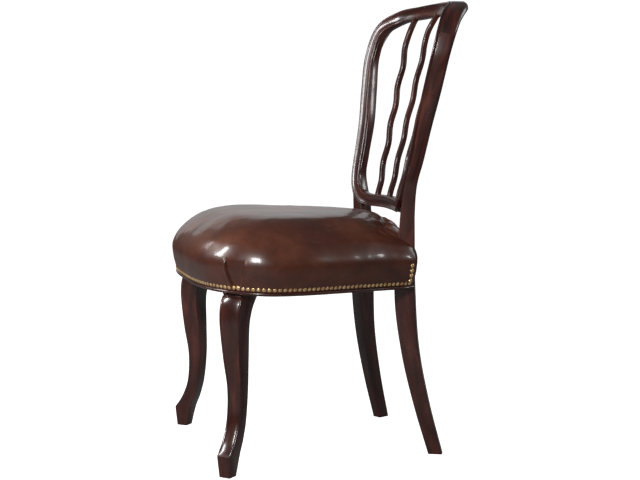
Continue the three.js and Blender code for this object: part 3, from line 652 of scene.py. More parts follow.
# %% Posts, crest and lower rail
seam_share = 0.00006
crest_joint_height = 902 * MM
side_steps = 130
crest_steps = 70
rail_steps = 50
rail_joint = ring_line.share_where(lambda point: point.x < rail_joint_place and point.z < rail_top)
ring_middle = ring_line.share_where(lambda point: point.x < 0)
ring_crest = ring_line.share_where(lambda point: point.z < crest_joint_height)
ring_crown = ring_line.share_where(lambda point: point.z < crest_joint_height or point.x > 0)
post_crest = share_at_height(crest_joint_height)
print("seam", round(seam_share * ring_line.length / MM, 2), "mm")


def both_sides(half):
    mirror = [[Vector((-place.x, place.y, place.z)) for place in ring] for ring in half]
    return half + mirror[-2::-1]


for side in ("left", "right"):
    body = joined(skin(post_body_rings(post_crest), level_foot=True),
                  skin(ring_rings(rail_joint + seam_share, ring_crest, side_steps, "moulding")))
    finish(f"polished_post_{side}", body, mahogany, [f"rear_post_{side}"],
           mirror=side == "right")

for name, node, start, end, steps in (
        ("polished_crest", "crest_rail", ring_crest + seam_share, ring_crown, crest_steps),
        ("polished_lower_rail", "lower_back_rail", rail_joint, ring_middle, rail_steps)):
    body = joined(skin(both_sides(ring_rings(start, end, steps, "body"))),
                  skin(both_sides(ring_rings(start, end, steps, "moulding"))))
    finish(name, body, mahogany, [node])

# %% [markdown]
# Three splats wave side by side, nearly in step. Each is a thin bar with rounded edges and a face
# that is hollowed a little, swept up a line that swings from side to side as it climbs. The swing
# fades in above the rail. A curve object with a bevel could do it too, but its outline would turn
# about the line, and here it has to face as the back does.

# %% Wavy splats
splat_width = 12.5 * MM
splat_depth = 11 * MM
splat_front_edge = 2.6 * MM
splat_back_edge = 1.5 * MM
splat_face_share = 0.6
splat_face_shoulder = 0.1 * MM
splat_face_hollow = 0.5 * MM
splat_foot_spacing = 69.5 * MM
splat_head_spacing = 104.5 * MM
splat_bulge = 1.2 * MM
splat_low = rail_top - 6 * MM
splat_high = crown_height - 4 * MM
splat_steps = 170
wave_amplitude = 4 * MM
wave_length = 88.2 * MM
wave_start = 17 * MM
wave_lead = 11.5 * MM
wave_fade = 36 * MM
print("waves on a splat", round((splat_high - splat_low) / wave_length, 1))


def splat_point(place, z):
    climb = (z - rail_top) / (crown_height - hoop_width / 2 - rail_top)
    spacing = mix(splat_foot_spacing, splat_head_spacing, climb)
    straight = place * (spacing + splat_bulge * math.sin(math.pi * climb))
    swing = wave_amplitude * smooth_step(z, rail_top - wave_fade / 2, rail_top + wave_fade)
    start = rail_top + wave_start + place * wave_lead
    return on_back(straight + swing * math.sin(2 * math.pi * (z - start) / wave_length), z)


def splat_outline():
    half, deep = splat_width / 2, splat_depth / 2
    r, e = splat_front_edge, splat_back_edge
    flat = splat_face_share * half
    outline = arc(half - r, r - deep, r, 0, -75, 6)
    outline += [(flat, splat_face_shoulder - deep), (0, splat_face_hollow - deep),
                (-flat, splat_face_shoulder - deep)]
    outline += arc(r - half, r - deep, r, -105, -180, 6)
    outline += arc(e - half, deep - e, e, 180, 90, 4)
    outline += arc(half - e, deep - e, e, 90, 0, 4)
    return outline


def splat_rings(place):
    rings = []
    for z in spread(splat_low, splat_high, splat_steps):
        point = splat_point(place, z)
        run = (splat_point(place, z + MM) - splat_point(place, z - MM)).normalized()
        back = square_to(run, back_facing(point.x, point.z))
        rings.append(laid(point, back.cross(run), back, splat_outline()))
    return rings


for name, place in (("right", -1), ("centre", 0), ("left", 1)):
    body = skin(splat_rings(place))
    finish(f"polished_splat_{name}", body, mahogany, [f"splat_{name}"])

# %% [markdown]
# The seat is drawn level on the line of the nails and then lifted to the seat's slope, which
# falls a little towards the back. First come the corners of the posts at that height, because the
# seat ends on them.

# %% Where the posts stand in the seat
nail_height = 381 * MM
seat_rise = 13.5 / 409
inner_corner_inset = 4 * MM
post_at_seat, _, post_back, post_out = post_axes(share_at_height(nail_height))
post_half = leg_width(nail_height) / 2
post_deep = outer_depth(nail_height) / 2
outer_corner = post_at_seat + post_out * post_half + post_back * post_deep
inner_corner = post_at_seat - post_out * post_half + post_back * (post_deep - inner_corner_inset)
post_front = post_at_seat - post_back * post_deep
print("outer corner of the post", [round(v / MM, 1) for v in outer_corner])


def on_seat(x, y, height):
    return Vector((x, y, nail_height + height - seat_rise * y))


# %% [markdown]
# The line of the nails is half a plan, mirrored: a bowed front, a round corner over the leg, a
# bulged side, the post, and a rear edge that bows back between the posts. The points between the
# corners are shares of the way from one to the next.

# %% The plan of the seat
seat_front_depth = 278.5 * MM
seat_corner_width = 230.5 * MM
seat_corner_depth = 231.4 * MM
seat_widest_width = 281 * MM
seat_widest_depth = 150 * MM
seat_back_bulge = 27 * MM
front_shares = [(0.473, 0.92), (0.757, 0.647), (0.895, 0.333)]
corner_shares = [(0.423, 0.253), (0.773, 0.566)]
side_shares = [(0.9, 0.21), (0.624, 0.465), (0.303, 0.745)]
rear_shares = [(0.54, 0.77), (0, 1)]


def half_plan():
    points = [(0, -seat_front_depth)]
    for across, deep in front_shares:
        points.append((seat_corner_width * across, -mix(seat_corner_depth, seat_front_depth, deep)))
    points.append((seat_corner_width, -seat_corner_depth))
    for across, deep in corner_shares:
        points.append((mix(seat_corner_width, seat_widest_width, across),
                       -mix(seat_corner_depth, seat_widest_depth, deep)))
    points.append((seat_widest_width, -seat_widest_depth))
    for across, deep in side_shares:
        points.append((mix(outer_corner.x, seat_widest_width, across),
                       mix(-seat_widest_depth, outer_corner.y, deep)))
    points += [(outer_corner.x, outer_corner.y), (inner_corner.x, inner_corner.y)]
    for across, deep in rear_shares:
        points.append((inner_corner.x * across, inner_corner.y + seat_back_bulge * deep))
    return points


drawn = half_plan()
drawn += [(-x, y) for x, y in drawn[-2:0:-1]]
plan = Run([Vector((x, y, 0)) for x, y in drawn], closed=True, parts=2400)


def nearest_share(x, y):
    goal = Vector((x, y, 0))
    return min(spread(0, 0.5, 1500), key=lambda share: (plan.at(share) - goal).length)


corner_share = nearest_share(seat_corner_width, -seat_corner_depth)
post_share = nearest_share(outer_corner.x, outer_corner.y)
print("nail line", round(plan.length, 3), "m, corner at", round(corner_share * plan.length, 3),
      "post at", round(post_share * plan.length, 3))

# %% [markdown]
# A place on the seat is found from the nail line: a share of the way round it, an inset and a
# height. Near the edge the inset runs square to the line. Further in, where that would cross over
# itself at the corners, the line shrinks towards the middle.

# %% Places on the seat
square_inset = 20 * MM


def plan_point(share):
    run = plan.direction(share)
    return plan.at(share), Vector((run.y, -run.x, 0))


def inset_point(point, outward, inset, height):
    near = min(inset, square_inset)
    shrink = 1 - (inset - near) / seat_front_depth
    return on_seat((point.x - outward.x * near) * shrink, (point.y - outward.y * near) * shrink, height)


# %% [markdown]
# The polished bead under the nails is half round. It is three strips: one across the front, from
# leg to leg, and one down each side as far as the rear post.

# %% Edge beads
bead_top = -4.6 * MM
bead_foot = -12.3 * MM
bead_standout = 2 * MM
bead_fullness = 0.8
bead_steps = 90
strip_gap_share = 0.0002
rail_inset = 4.6 * MM
print("edge bead", round((bead_top - bead_foot) / MM, 1), "mm tall")


def bead_ring(share):
    point, outward = plan_point(share % 1)
    level = (bead_top + bead_foot) / 2
    tall = (bead_top - bead_foot) / 2
    outline = []
    for angle in spread(-90, 90, 10):
        turn = math.radians(angle)
        reach = math.cos(turn) ** bead_fullness if abs(angle) < 90 else 0
        inset = rail_inset - (rail_inset + bead_standout) * reach
        outline.append(inset_point(point, outward, inset, level + tall * math.sin(turn)))
    return outline


for name, start, end in (("front", -corner_share, corner_share), ("left", corner_share, post_share),
                         ("right", -post_share, -corner_share)):
    shares = spread(start + strip_gap_share, end - strip_gap_share, bead_steps)
    body = skin([bead_ring(share) for share in shares])
    finish(f"polished_bead_{name}", body, mahogany, [f"edge_bead_{name}"])

# %% [markdown]
# The front legs are square cabriole legs, set at an angle on the corners of the seat. Their face
# has a fine bead down each edge and dies on a crisp toe. A leg could be carved from a block, but a
# few curves say the same. Each pairs a height with a measure there, both in millimetres: how far the
# face and the back stand out from the leg's middle, how wide it is, how much its face is rounded.

# %% Curves of a front leg
toe_top = 44
ankle = 112
knee = 352
block_top = 370


def in_mm(pairs):
    return reading([(place * MM, value * MM) for place, value in pairs])


toe_front = in_mm([(0, 15.6), (toe_top, 18.8)])
shin_front = in_mm([(toe_top, 18.8), (72, -1.4), (ankle, -16.8), (175, -20), (240, -10.4), (308, -5),
                    (335, -6), (knee, -9.5), (362, -14), (block_top, -20)])
shin_back = in_mm([(0, 10), (toe_top, 21), (72, 33), (ankle, 44.7), (175, 52), (240, 50.3), (308, 47.5),
                   (335, 54), (knee, 63), (block_top, 78)])
shin_width = in_mm([(0, 26), (toe_top, 32.2), (ankle, 32.6), (175, 32.8), (240, 39), (308, 47.5),
                    (knee, 50.5), (block_top, 50.5)])
shin_camber = in_mm([(toe_top, 1.2), (308, 1.2), (block_top, 3)])
print("ankle and knee", [round(shin_width(level * MM) / MM, 1) for level in (ankle, knee)], "mm wide")

# %% [markdown]
# Each outline is drawn on the leg's own axes, along the corner's face and outwards from it, and
# its last one follows the slope of the seat. The bead and its quirk fade in above the toe.

# %% Front legs
front_leg_turn = math.radians(43.4)
leg_standout = 6.3 * MM
leg_outward = Vector((math.sin(front_leg_turn), -math.cos(front_leg_turn), 0))
leg_along = Vector((math.cos(front_leg_turn), math.sin(front_leg_turn), 0))
leg_centre = Vector((seat_corner_width, -seat_corner_depth, 0)) + leg_outward * leg_standout
toe_height = toe_top * MM
block_height = block_top * MM
below_toe_edge = 0.6 * MM
above_toe_edge = 0.7 * MM
shin_start = 2 * MM
leg_head = -1 * MM
leg_steps = 190
leg_bead = 4.2 * MM
leg_quirk = 1.8 * MM
quirk_places = ((2, 0.9), (2.5, 0.5))
face_inset_radii = 3.2
face_depth_share = 0.2
leg_heel_edge = 2.4 * MM
bead_fade = 12 * MM


def leg_outline(z):
    toe = z <= toe_height
    front = toe_front(z) if toe else shin_front(z)
    back = -shin_back(z)
    half = shin_width(z) / 2
    r = leg_bead / 2
    e = leg_heel_edge
    fade = 0 if toe else smooth_step(z, toe_height, toe_height + bead_fade)
    camber = shin_camber(z) * fade
    quirk = leg_quirk * fade
    right = arc(half - r, front - r, r, 0, 90, 6)
    right += [(half - in_radii * r, front - quirk * deep) for in_radii, deep in quirk_places]
    face = []
    floor = half - face_inset_radii * r
    for share in spread(1, -1, 10):
        face.append((share * floor, front - quirk * face_depth_share + camber * (1 - share * share)))
    left = [(-w, n) for w, n in right[::-1]]
    heel = arc(e - half, back + e, e, 180, 270, 5)
    return right + face + left + heel + [(-w, n) for w, n in heel[::-1]]


def on_leg(w, n, z):
    return leg_centre + leg_along * w + leg_outward * n + Vector((0, 0, z))


def front_leg_rings():
    levels = spread(0, toe_height - below_toe_edge, 12) + [toe_height, toe_height + above_toe_edge]
    levels += spread(toe_height + shin_start, block_height, leg_steps)
    rings = [[on_leg(w, n, z) for w, n in leg_outline(z)] for z in levels]
    head = [on_leg(w, n, 0) for w, n in leg_outline(block_height)]
    return [*rings, [on_seat(place.x, place.y, leg_head) for place in head]]


for side in ("left", "right"):
    body = skin(front_leg_rings())
    finish(f"polished_front_leg_{side}", body, mahogany, [f"front_leg_{side}"],
           mirror=side == "right", sharp=50)

# %% [markdown]
# The leather is one tight skin over the stuffing. It is pleated twice above each front leg, drawn
# down where it passes the rear posts, and gathered into a twisted welt along its rear edge. It
# could be draped as simulated cloth, but leather that is stretched and nailed hardly moves. So the
# skin is a fine grid on the seat's own curves, and each fold is a move along the surface's normal,
# given by a short formula.

# %% The dome of the seat
cover_crown = 142 * MM
hem_drop = -4.2 * MM
draw_in = 17 * MM
draw_reach = 62 * MM
rear_lift = 2.5 * MM
lift_start = -60 * MM
lift_full = 120 * MM
cover_shares = [(0, 0), (-0.026, 0.2), (-0.031, 0.404), (0.018, 0.6), (0.067, 0.7), (0.13, 0.797),
                (0.213, 0.892), (0.32, 0.968), (0.45, 1), (0.7, 1.012), (1, 1.014)]
profile = Run([Vector((across, high, 0)) for across, high in cover_shares], parts=600)
print("dome", round(cover_crown / MM), "mm above the nails")


def cover_point(point, outward, across, high):
    level = cover_crown * high + hem_drop * (1 - high)
    place = inset_point(point, outward, across * seat_front_depth, level)
    away = math.hypot(abs(place.x) - post_front.x, place.y - post_front.y) / draw_reach
    place.z -= draw_in * max(high, 0) * math.exp(-away * away)
    place.z += rear_lift * max(high, 0) * smooth_step(place.y, lift_start, lift_full)
    return place


# %% [markdown]
# The grid is only as fine as the folds need: close columns where the pleats, the posts and the
# gathers are, wide ones elsewhere, and close rows up to the shoulder of the dome.

# %% Columns and rows of the leather
pleat_shift = 19 * MM
pleat_share = corner_share + pleat_shift / plan.length
pleat_zone = 30 * MM
post_zone = 40 * MM
plain_step = 4.2 * MM
pleat_step = 0.9 * MM
post_step = 1.6 * MM
gather_step = 1.9 * MM
shoulder_share = 0.62
middle_share = 0.985


def column_shares():
    length = plan.length
    shares = []
    place = 0.0
    while place < length / 2:
        shares.append(place / length)
        fold = abs(place - pleat_share * length)
        post = abs(place - post_share * length)
        step = plain_step
        if fold < pleat_zone:
            step = pleat_step
        elif post < post_zone:
            step = post_step
        elif place > post_share * length:
            step = gather_step
        place += step
    return shares + [0.5] + [1 - share for share in shares[:0:-1]]


def profile_places():
    return spread(0, shoulder_share, 84) + spread(shoulder_share, middle_share, 22)[1:]


print("leather grid", len(profile_places()), "by", len(column_shares()))

# %% [markdown]
# Above each front leg the leather is folded twice. The two creases lean apart as they climb and
# die in the dome. A crease is a narrow dip with a soft lip beside it, and the leather between the
# two is pressed in.

# %% Pleats over the front legs
pleat_length = 60 * MM
pleat_reach = 40 * MM
pleat_foot = 4 * MM
pleat_head = 19 * MM
pleat_depths = (5.2 * MM, 1.8 * MM)
crease_width = 1.5 * MM
lip_place = 4 * MM
lip_width = 3 * MM
lip_share = 0.4
pleat_press = 1.6 * MM
press_edge = 3 * MM
pleat_fade_shares = (0.85, 1.12)


def signed_run(share, centre):
    apart = share - centre
    return (apart - round(apart)) * plan.length


def pleat_move(share, rise):
    moved = 0.0
    for centre, turn in ((pleat_share, 1), (1 - pleat_share, -1)):
        apart = signed_run(share, centre) * turn
        climb = rise / pleat_length
        if abs(apart) > pleat_reach or climb > pleat_fade_shares[1]:
            continue
        line = mix(pleat_foot, pleat_head, math.sin(min(climb, 1) * math.pi / 2))
        fade = 1 - smooth_step(climb, *pleat_fade_shares)
        for side, depth in zip((-1, 1), pleat_depths):
            off = side * apart - line
            crease = math.exp(-((off / crease_width) ** 2))
            lip = math.exp(-(((off - lip_place) / lip_width) ** 2))
            moved += fade * depth * (lip_share * lip - crease)
        inside = 1 - smooth_step(abs(apart), line - press_edge, line + MM)
        moved -= fade * inside * pleat_press
    return moved


# %% [markdown]
# In front of the splats the leather is gathered: a row of round folds that lean a little, with a
# seam line along their top side. The folds are a sine without its sign, which gives round backs
# and sharp valleys.

# %% Gathers along the rear edge
gather_pitch = 44 * MM
gather_height = 9 * MM
gather_row = 0.85
gather_spread = 0.075
gather_band = (0.55, 0.97)
gather_start = 96 * MM
gather_full = 130 * MM
gather_lean = 0.3
gather_roundness = 0.7
gather_level = 0.8
gather_seam = 4.5 * MM
gather_seam_place = 1.15
gather_seam_width = 0.3
print("gathers are", round(gather_pitch / MM), "mm apart")


def gather_move(share, high, place):
    near_back = smooth_step(place.y, gather_start, gather_full)
    if near_back == 0 or not gather_band[0] < high < gather_band[1]:
        return 0.0
    across = (high - gather_row) / gather_spread
    phase = share * plan.length / gather_pitch + across * gather_lean
    fold = abs(math.sin(math.pi * phase)) ** gather_roundness
    band = math.exp(-across ** 4)
    seam_line = math.exp(-((across - gather_seam_place) / gather_seam_width) ** 2)
    return near_back * (gather_height * band * (fold - gather_level) - gather_seam * seam_line)


# %% [markdown]
# Leather that would wrap behind a post is tucked into the post's own room instead. A table of the
# post's place and facing at a few heights saves asking the post's line for every corner of the
# grid.

# %% Tucking the leather behind the posts
tuck_low = 360 * MM
tuck_high = 500 * MM
tuck_step = 5 * MM
tuck_clearance = 2.5 * MM
tuck_side = 9 * MM
post_table = []
for level in spread(tuck_low, tuck_high, round((tuck_high - tuck_low) / tuck_step)):
    point, _, back, out = post_axes(share_at_height(level))
    back = Vector((back.x, back.y, 0)).normalized()
    post_table.append((point, back, Vector((out.x, out.y, 0)).normalized()))
print("post table", len(post_table), "heights")


def tucked(place):
    side = 1 if place.x > 0 else -1
    level = min(max(place.z, tuck_low), tuck_high)
    point, back, out = post_table[round((level - tuck_low) / tuck_step)]
    flat = Vector((side * place.x, place.y, place.z)) - point
    across = flat.dot(out)
    deep = flat.dot(back)
    half = leg_width(level) / 2
    limit = outer_depth(level) / 2 - tuck_clearance
    if deep < limit or abs(across) > half + tuck_side:
        return place
    pull = 1 - smooth_step(abs(across), half, half + tuck_side)
    moved = back * ((limit - deep) * pull)
    return place + Vector((side * moved.x, moved.y, moved.z))


# %% [markdown]
# Now the leather is laid: its hem turned in behind the lower edge, the plain dome, and then every
# corner of the grid moved along its normal by the pleats, the gathers and a little slack, which is
# what breaks up the highlights on old leather.

# %% Laying the leather
hem_places = ((4 * MM, 10 * MM), (4 * MM, hem_drop), (0.8 * MM, hem_drop))
slack_waves = ((16, 1.3 * MM), (45, 0.35 * MM))
slack_start = 6 * MM
slack_full = 50 * MM


def normal_at(above, row, below, k):
    sideways = row[(k + 1) % len(row)] - row[k - 1]
    normal = sideways.cross(above[k] - below[k])
    if normal.length == 0:
        return Vector((0, 0, 1))
    return normal.normalized()


def leather_rows():
    shares = column_shares()
    stations = [plan_point(share) for share in shares]
    hem = [[inset_point(point, outward, inset, level) for point, outward in stations]
           for inset, level in hem_places]
    rows = []
    highs = []
    for place in profile_places():
        across, high, _ = profile.at(place)
        rows.append([cover_point(point, outward, across, high) for point, outward in stations])
        highs.append(high)
    moved = []
    for i, row in enumerate(rows):
        above = rows[min(i + 1, len(rows) - 1)]
        below = rows[max(i - 1, 0)]
        line = []
        for k, place in enumerate(row):
            rise = (place - rows[0][k]).length
            move = pleat_move(shares[k], rise) + gather_move(shares[k], highs[i], place)
            slack = sum(noise.noise(place * fineness) * height for fineness, height in slack_waves)
            move += slack * smooth_step(rise, slack_start, slack_full)
            line.append(tucked(place + normal_at(above, row, below, k) * move))
        moved.append(line)
    return [*hem, *moved]


# %% [markdown]
# Old glazed leather is a warm brown, darker in patches, with a shine from years of wax. A Voronoi
# cell pattern gives the fine grain, a slow noise the mottling, and the shine is a clear coat of
# its own.

# %% Glazed leather


def glazed_leather():
    material, nodes, links, shader = new_material("glazed_leather")
    dark_brown = (0.04, 0.012, 0.008)
    warm_brown = (0.105, 0.03, 0.016)
    rubbed_brown = (0.21, 0.067, 0.033)
    grains_per_metre = 900
    mottle = stretched_noise(nodes, links, "Object", (7, 7, 9), detail=6, rough=0.6, distortion=0.3)
    colour = ramp(nodes, links, mottle, [(0.28, dark_brown), (0.5, warm_brown), (0.72, rubbed_brown)])
    links.new(colour, shader.inputs["Base Color"])
    cells = nodes.new("ShaderNodeTexVoronoi")
    cells.feature = "DISTANCE_TO_EDGE"
    preset(cells, {"Scale": grains_per_metre})
    coords = nodes.new("ShaderNodeTexCoord")
    links.new(coords.outputs["Object"], cells.inputs["Vector"])
    grain = bumped(nodes, links, cells.outputs["Distance"], 0.06, 0.2 * MM)
    slack = stretched_noise(nodes, links, "Object", (60, 60, 60), detail=4)
    links.new(bumped(nodes, links, slack, 0.04, MM, under=grain), shader.inputs["Normal"])
    links.new(ranged(nodes, links, mottle, 0.4, 0.28), shader.inputs["Roughness"])
    preset(shader, {"Coat Weight": 0.5, "Coat Roughness": 0.11})
    return material


leather = glazed_leather()
body = skin(leather_rows())
seat = finish("leather_seat", body, leather, ["leather_cover", "seat_padding"], sharp=60)

# %% [markdown]
# Brass nails stand head to head along the cover's lower edge, along the rear edge between the
# posts, and a few climb beside each post. The metal is old: brown where it has tarnished and bright
# where it is rubbed.

# %% Antique brass


def antique_brass():
    material, nodes, links, shader = new_material("antique_brass")
    tarnished = (0.55, 0.29, 0.11)
    rubbed = (1.0, 0.7, 0.36)
    tarnish = stretched_noise(nodes, links, "Object", (160, 160, 160), detail=3)
    colour = ramp(nodes, links, tarnish, [(0.3, tarnished), (0.6, rubbed)])
    links.new(colour, shader.inputs["Base Color"])
    links.new(ranged(nodes, links, tarnish, 0.45, 0.25), shader.inputs["Roughness"])
    preset(shader, {"Metallic": 0.6})
    return material


brass = antique_brass()
print("finish of the nails", brass.name)

# %% [markdown]
# One small dome is made once, the upper half of a coarse ball pressed flat, and copied to every
# place into a single mesh. Each nail could be an object of its own, but then a shape of a few dozen
# faces would fill the list of pieces.

# %% One nail
nail_radius = 5.1 * MM
nail_dome = 3 * MM


def nail_template():
    bm = bmesh.new()
    bmesh.ops.create_uvsphere(bm, u_segments=10, v_segments=8, radius=1)
    keep_above_floor(bm)
    fill_holes(bm)
    bmesh.ops.scale(bm, vec=(nail_radius, nail_radius, nail_dome), verts=bm.verts)
    mesh = as_mesh("nail_template", bm)
    print("nail", len(mesh.polygons), "faces")
    return mesh


def add_nail(bm, mesh, place, outward):
    start = len(bm.verts)
    bm.from_mesh(mesh)
    bm.verts.ensure_lookup_table()
    bmesh.ops.transform(bm, matrix=turned_to(place, outward, "Z"), verts=bm.verts[start:])


# %% [markdown]
# The rows follow the line of the nails at an even pitch. The few beside each post climb the
# cover's own profile, one pitch at a time.

# %% Rows of nails
nail_pitch = 11 * MM
nail_sunk = 0.4 * MM
nail_lift = 1.2 * MM
post_nail_place = 17 * MM
post_nail_count = 4
rear_row_gap = 0.05


def row_of_nails(start, end):
    count = round((end - start) * plan.length / nail_pitch)
    places = []
    for share in spread(start, end, count):
        point, outward = plan_point(share % 1)
        places.append((inset_point(point, outward, nail_sunk, nail_lift), outward))
    return places


def post_nails(share):
    point, outward = plan_point(share % 1)
    places = []
    for step in range(1, post_nail_count + 1):
        high = step * nail_pitch / cover_crown
        across = profile.at(profile.share_where(lambda spot, goal=high: spot.y < goal)).x
        places.append((cover_point(point, outward, across, high), outward))
    return places


row_end = post_share - post_nail_place / plan.length
rear_half = 0.5 - post_share - rear_row_gap / 2
nails = row_of_nails(-row_end, row_end) + row_of_nails(0.5 - rear_half, 0.5 + rear_half)
nails += post_nails(row_end) + post_nails(-row_end)
template = nail_template()
body = bmesh.new()
for place, outward in nails:
    add_nail(body, template, place, outward)
finish("brass_nails", body, brass)
print(len(nails), "nails")

# %% [markdown]
# Cloth is woven, so its finish has fine threads over a mottled colour. A wave texture gives the
# threads as a bump.

# %% Woven finishes


def woven(name, dark, light, pitch):
    material, nodes, links, shader = new_material(name)
    fine = stretched_noise(nodes, links, "Object", (30, 30, 30), detail=4)
    coords = nodes.new("ShaderNodeTexCoord")
    threads = nodes.new("ShaderNodeTexWave")
    preset(threads, {"Scale": 1 / pitch, "Distortion": 0.4})
    links.new(coords.outputs["Object"], threads.inputs["Vector"])
    links.new(ramp(nodes, links, fine, [(0.3, dark), (0.7, light)]), shader.inputs["Base Color"])
    links.new(bumped(nodes, links, threads.outputs["Fac"], 0.4, 0.5 * MM), shader.inputs["Normal"])
    preset(shader, {"Roughness": 0.9})
    return material


black_cloth = woven("black_cambric", (0.008, 0.008, 0.01), (0.02, 0.02, 0.024), 1.6 * MM)
jute = woven("jute_webbing", (0.28, 0.19, 0.1), (0.46, 0.34, 0.2), 3 * MM)
print("woven finishes", black_cloth.name, jute.name)

# %% [markdown]
# Below the seat a black cloth hides the webbing. It is a flat sheet cut to the seat's plan and
# tacked to the rails, so it only sags a little in its middle. The skin closes both ends of its
# rows: the small hole in the middle stays filled, and the large lid is taken off again.

# %% Dust cloth
cloth_edge_inset = 16.6 * MM
cloth_middle_inset = 270 * MM
cloth_level = -13.9 * MM
cloth_sag = 3 * MM


def dust_rows():
    stations = [plan_point(share) for share in spread(0, 1, 180)[:-1]]
    rows = []
    for inset in spread(cloth_edge_inset, cloth_middle_inset, 24):
        sag = cloth_sag * (1 - (1 - inset / cloth_middle_inset) ** 2)
        rows.append([inset_point(point, outward, inset, cloth_level - sag)
                     for point, outward in stations])
    return rows


body = skin(dust_rows())
lid = max(body.faces, key=lambda face: face.calc_area())
bmesh.ops.delete(body, geom=[lid], context="FACES_ONLY")
cloth_area = sum(face.calc_area() for face in body.faces)
cloth = finish("dust_cloth", body, black_cloth, ["dust_cover"])
print("dust cloth", round(cloth_area, 4), "m2")

# %% [markdown]
# The hidden frame keeps its CAD shapes, because its flat sawn faces need no finer ones. Beech
# rails and corner blocks, steel screws and jute webbing each get a finish with its own grain.

# %% Finishes of the hidden pieces


def plain_beech():
    material, nodes, links, shader = new_material("plain_beech")
    rings = stretched_noise(nodes, links, "Object", (14, 90, 90), detail=6, distortion=0.4)
    colour = ramp(nodes, links, rings, [(0.35, (0.32, 0.19, 0.09)), (0.65, (0.52, 0.34, 0.18))])
    links.new(colour, shader.inputs["Base Color"])
    links.new(ranged(nodes, links, rings, 0.55, 0.75), shader.inputs["Roughness"])
    links.new(bumped(nodes, links, rings, 0.3, 0.4 * MM), shader.inputs["Normal"])
    return material


def plain_steel():
    material, nodes, links, shader = new_material("plain_steel")
    brushed = stretched_noise(nodes, links, "Object", (900, 60, 900), detail=2)
    colour = ramp(nodes, links, brushed, [(0.3, (0.4, 0.38, 0.35)), (0.7, (0.6, 0.58, 0.54))])
    links.new(colour, shader.inputs["Base Color"])
    links.new(ranged(nodes, links, brushed, 0.3, 0.45), shader.inputs["Roughness"])
    preset(shader, {"Metallic": 1})
    return material


beech = plain_beech()
steel = plain_steel()
finishes = {"seat_rail": beech, "corner_block": beech, "screw": steel, "webbing": jute}
dressed = 0
for name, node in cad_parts.items():
    for key, material in finishes.items():
        if key in name:
            node.data.materials.clear()
            node.data.materials.append(material)
            dressed += 1
print("hidden pieces dressed", dressed)

# %% [markdown]
# The photograph was taken from the sitter's left, a little in front, with a longish lens at
# about the height of the upper back. The camera's place was fitted to the feet and the back.

# %% Camera
camera_place = Vector((2877.075 * MM, -817.408 * MM + centre_shift, 762.021 * MM))
camera_yaw = math.radians(16.381)
camera_pitch = math.radians(5.837)
focal_pixels = 1349.193
picture_width = 640
sensor_width = 36

camera_data = bpy.data.cameras.new("camera")
camera_data.sensor_width = sensor_width
camera_data.lens = sensor_width * focal_pixels / picture_width
camera = placed("camera", camera_data)
forward = Vector((-math.cos(camera_yaw) * math.cos(camera_pitch),
                  math.sin(camera_yaw) * math.cos(camera_pitch), -math.sin(camera_pitch)))
camera.matrix_world = turned_to(camera_place, forward, "-Z")
bpy.context.scene.camera = camera
print("lens", round(camera_data.lens, 1), "mm")

# %% [markdown]
# The floor and the room are white to the camera, as in a studio picture that was cut out. If the
# chair saw them as white too, its polish would mirror them everywhere and look grey. So both have
# two shaders: the camera sees the white one, and all other rays meet a dim one.

# %% White for the camera, dim for the chair
floor_glow = 0.95
dim_floor = 0.3
room_light = 0.1
white = (1, 1, 1, 1)


def to_camera_only(nodes, links, seen, otherwise, surface):
    rays = nodes.new("ShaderNodeLightPath")
    choice = nodes.new("ShaderNodeMixShader")
    links.new(rays.outputs["Is Camera Ray"], choice.inputs["Fac"])
    links.new(otherwise.outputs[0], choice.inputs[1])
    links.new(seen.outputs[0], choice.inputs[2])
    links.new(choice.outputs[0], surface)


def make_room():
    world = bpy.data.worlds.new("white_room")
    world.use_nodes = True
    nodes, links = world.node_tree.nodes, world.node_tree.links
    bright = nodes["Background"]
    preset(bright, {"Color": white})
    dim = nodes.new("ShaderNodeBackground")
    preset(dim, {"Color": white, "Strength": room_light})
    to_camera_only(nodes, links, bright, dim, nodes["World Output"].inputs["Surface"])
    bpy.context.scene.world = world
    print("room", world.name)


make_room()

# %% [markdown]
# The stage is a pale round floor that curves up into a wall, so no edge shows behind the chair.
# The circle's rim is extruded again and again along a quarter turn. The paint has a strong glow of
# its own, which keeps the chair's shadow faint.

# %% Stage
stage_half = 5.0
curve_radius = 1.5


def pale_paint():
    material, nodes, links, shader = new_material("pale_paint")
    speckle = stretched_noise(nodes, links, "Object", (3, 3, 3), detail=3)
    colour = ramp(nodes, links, speckle, [(0.3, (0.9, 0.9, 0.9)), (0.7, (0.94, 0.94, 0.94))])
    links.new(colour, shader.inputs["Base Color"])
    preset(shader, {"Roughness": 0.9, "Emission Color": white, "Emission Strength": floor_glow})
    dim = nodes.new("ShaderNodeBsdfDiffuse")
    preset(dim, {"Color": (dim_floor, dim_floor, dim_floor, 1)})
    to_camera_only(nodes, links, shader, dim, nodes["Material Output"].inputs["Surface"])
    return material


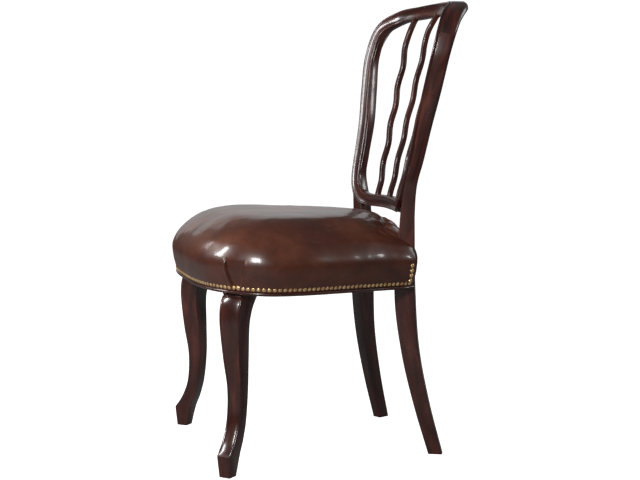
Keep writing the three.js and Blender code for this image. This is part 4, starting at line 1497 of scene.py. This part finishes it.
def make_stage():
    bm = bmesh.new()
    bmesh.ops.create_circle(bm, segments=64, radius=stage_half, cap_ends=True)
    edge = bm.faces[:][0].edges[:]
    for angle in spread(0, 90, 10)[1:]:
        turn = math.radians(angle)
        made = bmesh.ops.extrude_edge_only(bm, edges=edge)["geom"]
        verts = [item for item in made if isinstance(item, bmesh.types.BMVert)]
        edge = [item for item in made if isinstance(item, bmesh.types.BMEdge)]
        reach = stage_half + curve_radius * math.sin(turn)
        level = curve_radius * (1 - math.cos(turn))
        for vert in verts:
            flat = Vector((vert.co.x, vert.co.y, 0)).normalized()
            vert.co = flat * reach + Vector((0, 0, level))
    mesh = as_mesh("stage", bm)
    mesh.shade_smooth()
    mesh.materials.append(pale_paint())
    stage = placed("stage", mesh)
    print("stage", len(mesh.polygons), "faces")


make_stage()

# %% [markdown]
# Six soft boxes light the chair, all aimed at the middle of the seat. Polish shows each one as a
# highlight, so most are small. The one beside the camera is the strongest, the one in front draws
# the bright line down the far stile, and the wide one opposite the camera lays a sheen on the
# seat's top.

# %% Lights
seat_middle = Vector((0, 0, 0.45))

# Name, degrees round from +X, degrees up, distance in metres, width and height in metres, watts
soft_boxes = [
    ("front_box", -106, 30, 2.7, (0.4, 0.8), 26),
    ("camera_box", -40, 25, 2.9, (0.6, 0.7), 46),
    ("rear_box", 68, 22, 2.7, (0.3, 0.3), 4.5),
    ("left_box", -133, 26, 3.0, (0.4, 0.6), 3),
    ("wall_glow", 168, 15, 3.6, (3.0, 1.8), 8),
    ("back_box", 100, 25, 3.0, (1.2, 1.0), 8),
]


def soft_box(name, azimuth, elevation, distance, size, power):
    data = bpy.data.lights.new(name, "AREA")
    data.shape = "RECTANGLE"
    data.size, data.size_y = size
    data.energy = power
    turn, lift = math.radians(azimuth), math.radians(elevation)
    away = Vector((math.cos(lift) * math.cos(turn), math.cos(lift) * math.sin(turn), math.sin(lift)))
    placed(name, data).matrix_world = turned_to(seat_middle + away * distance, -away, "-Z")


for box in soft_boxes:
    soft_box(*box)
bpy.context.scene.view_settings.view_transform = "Standard"
print(len(soft_boxes), "soft boxes")
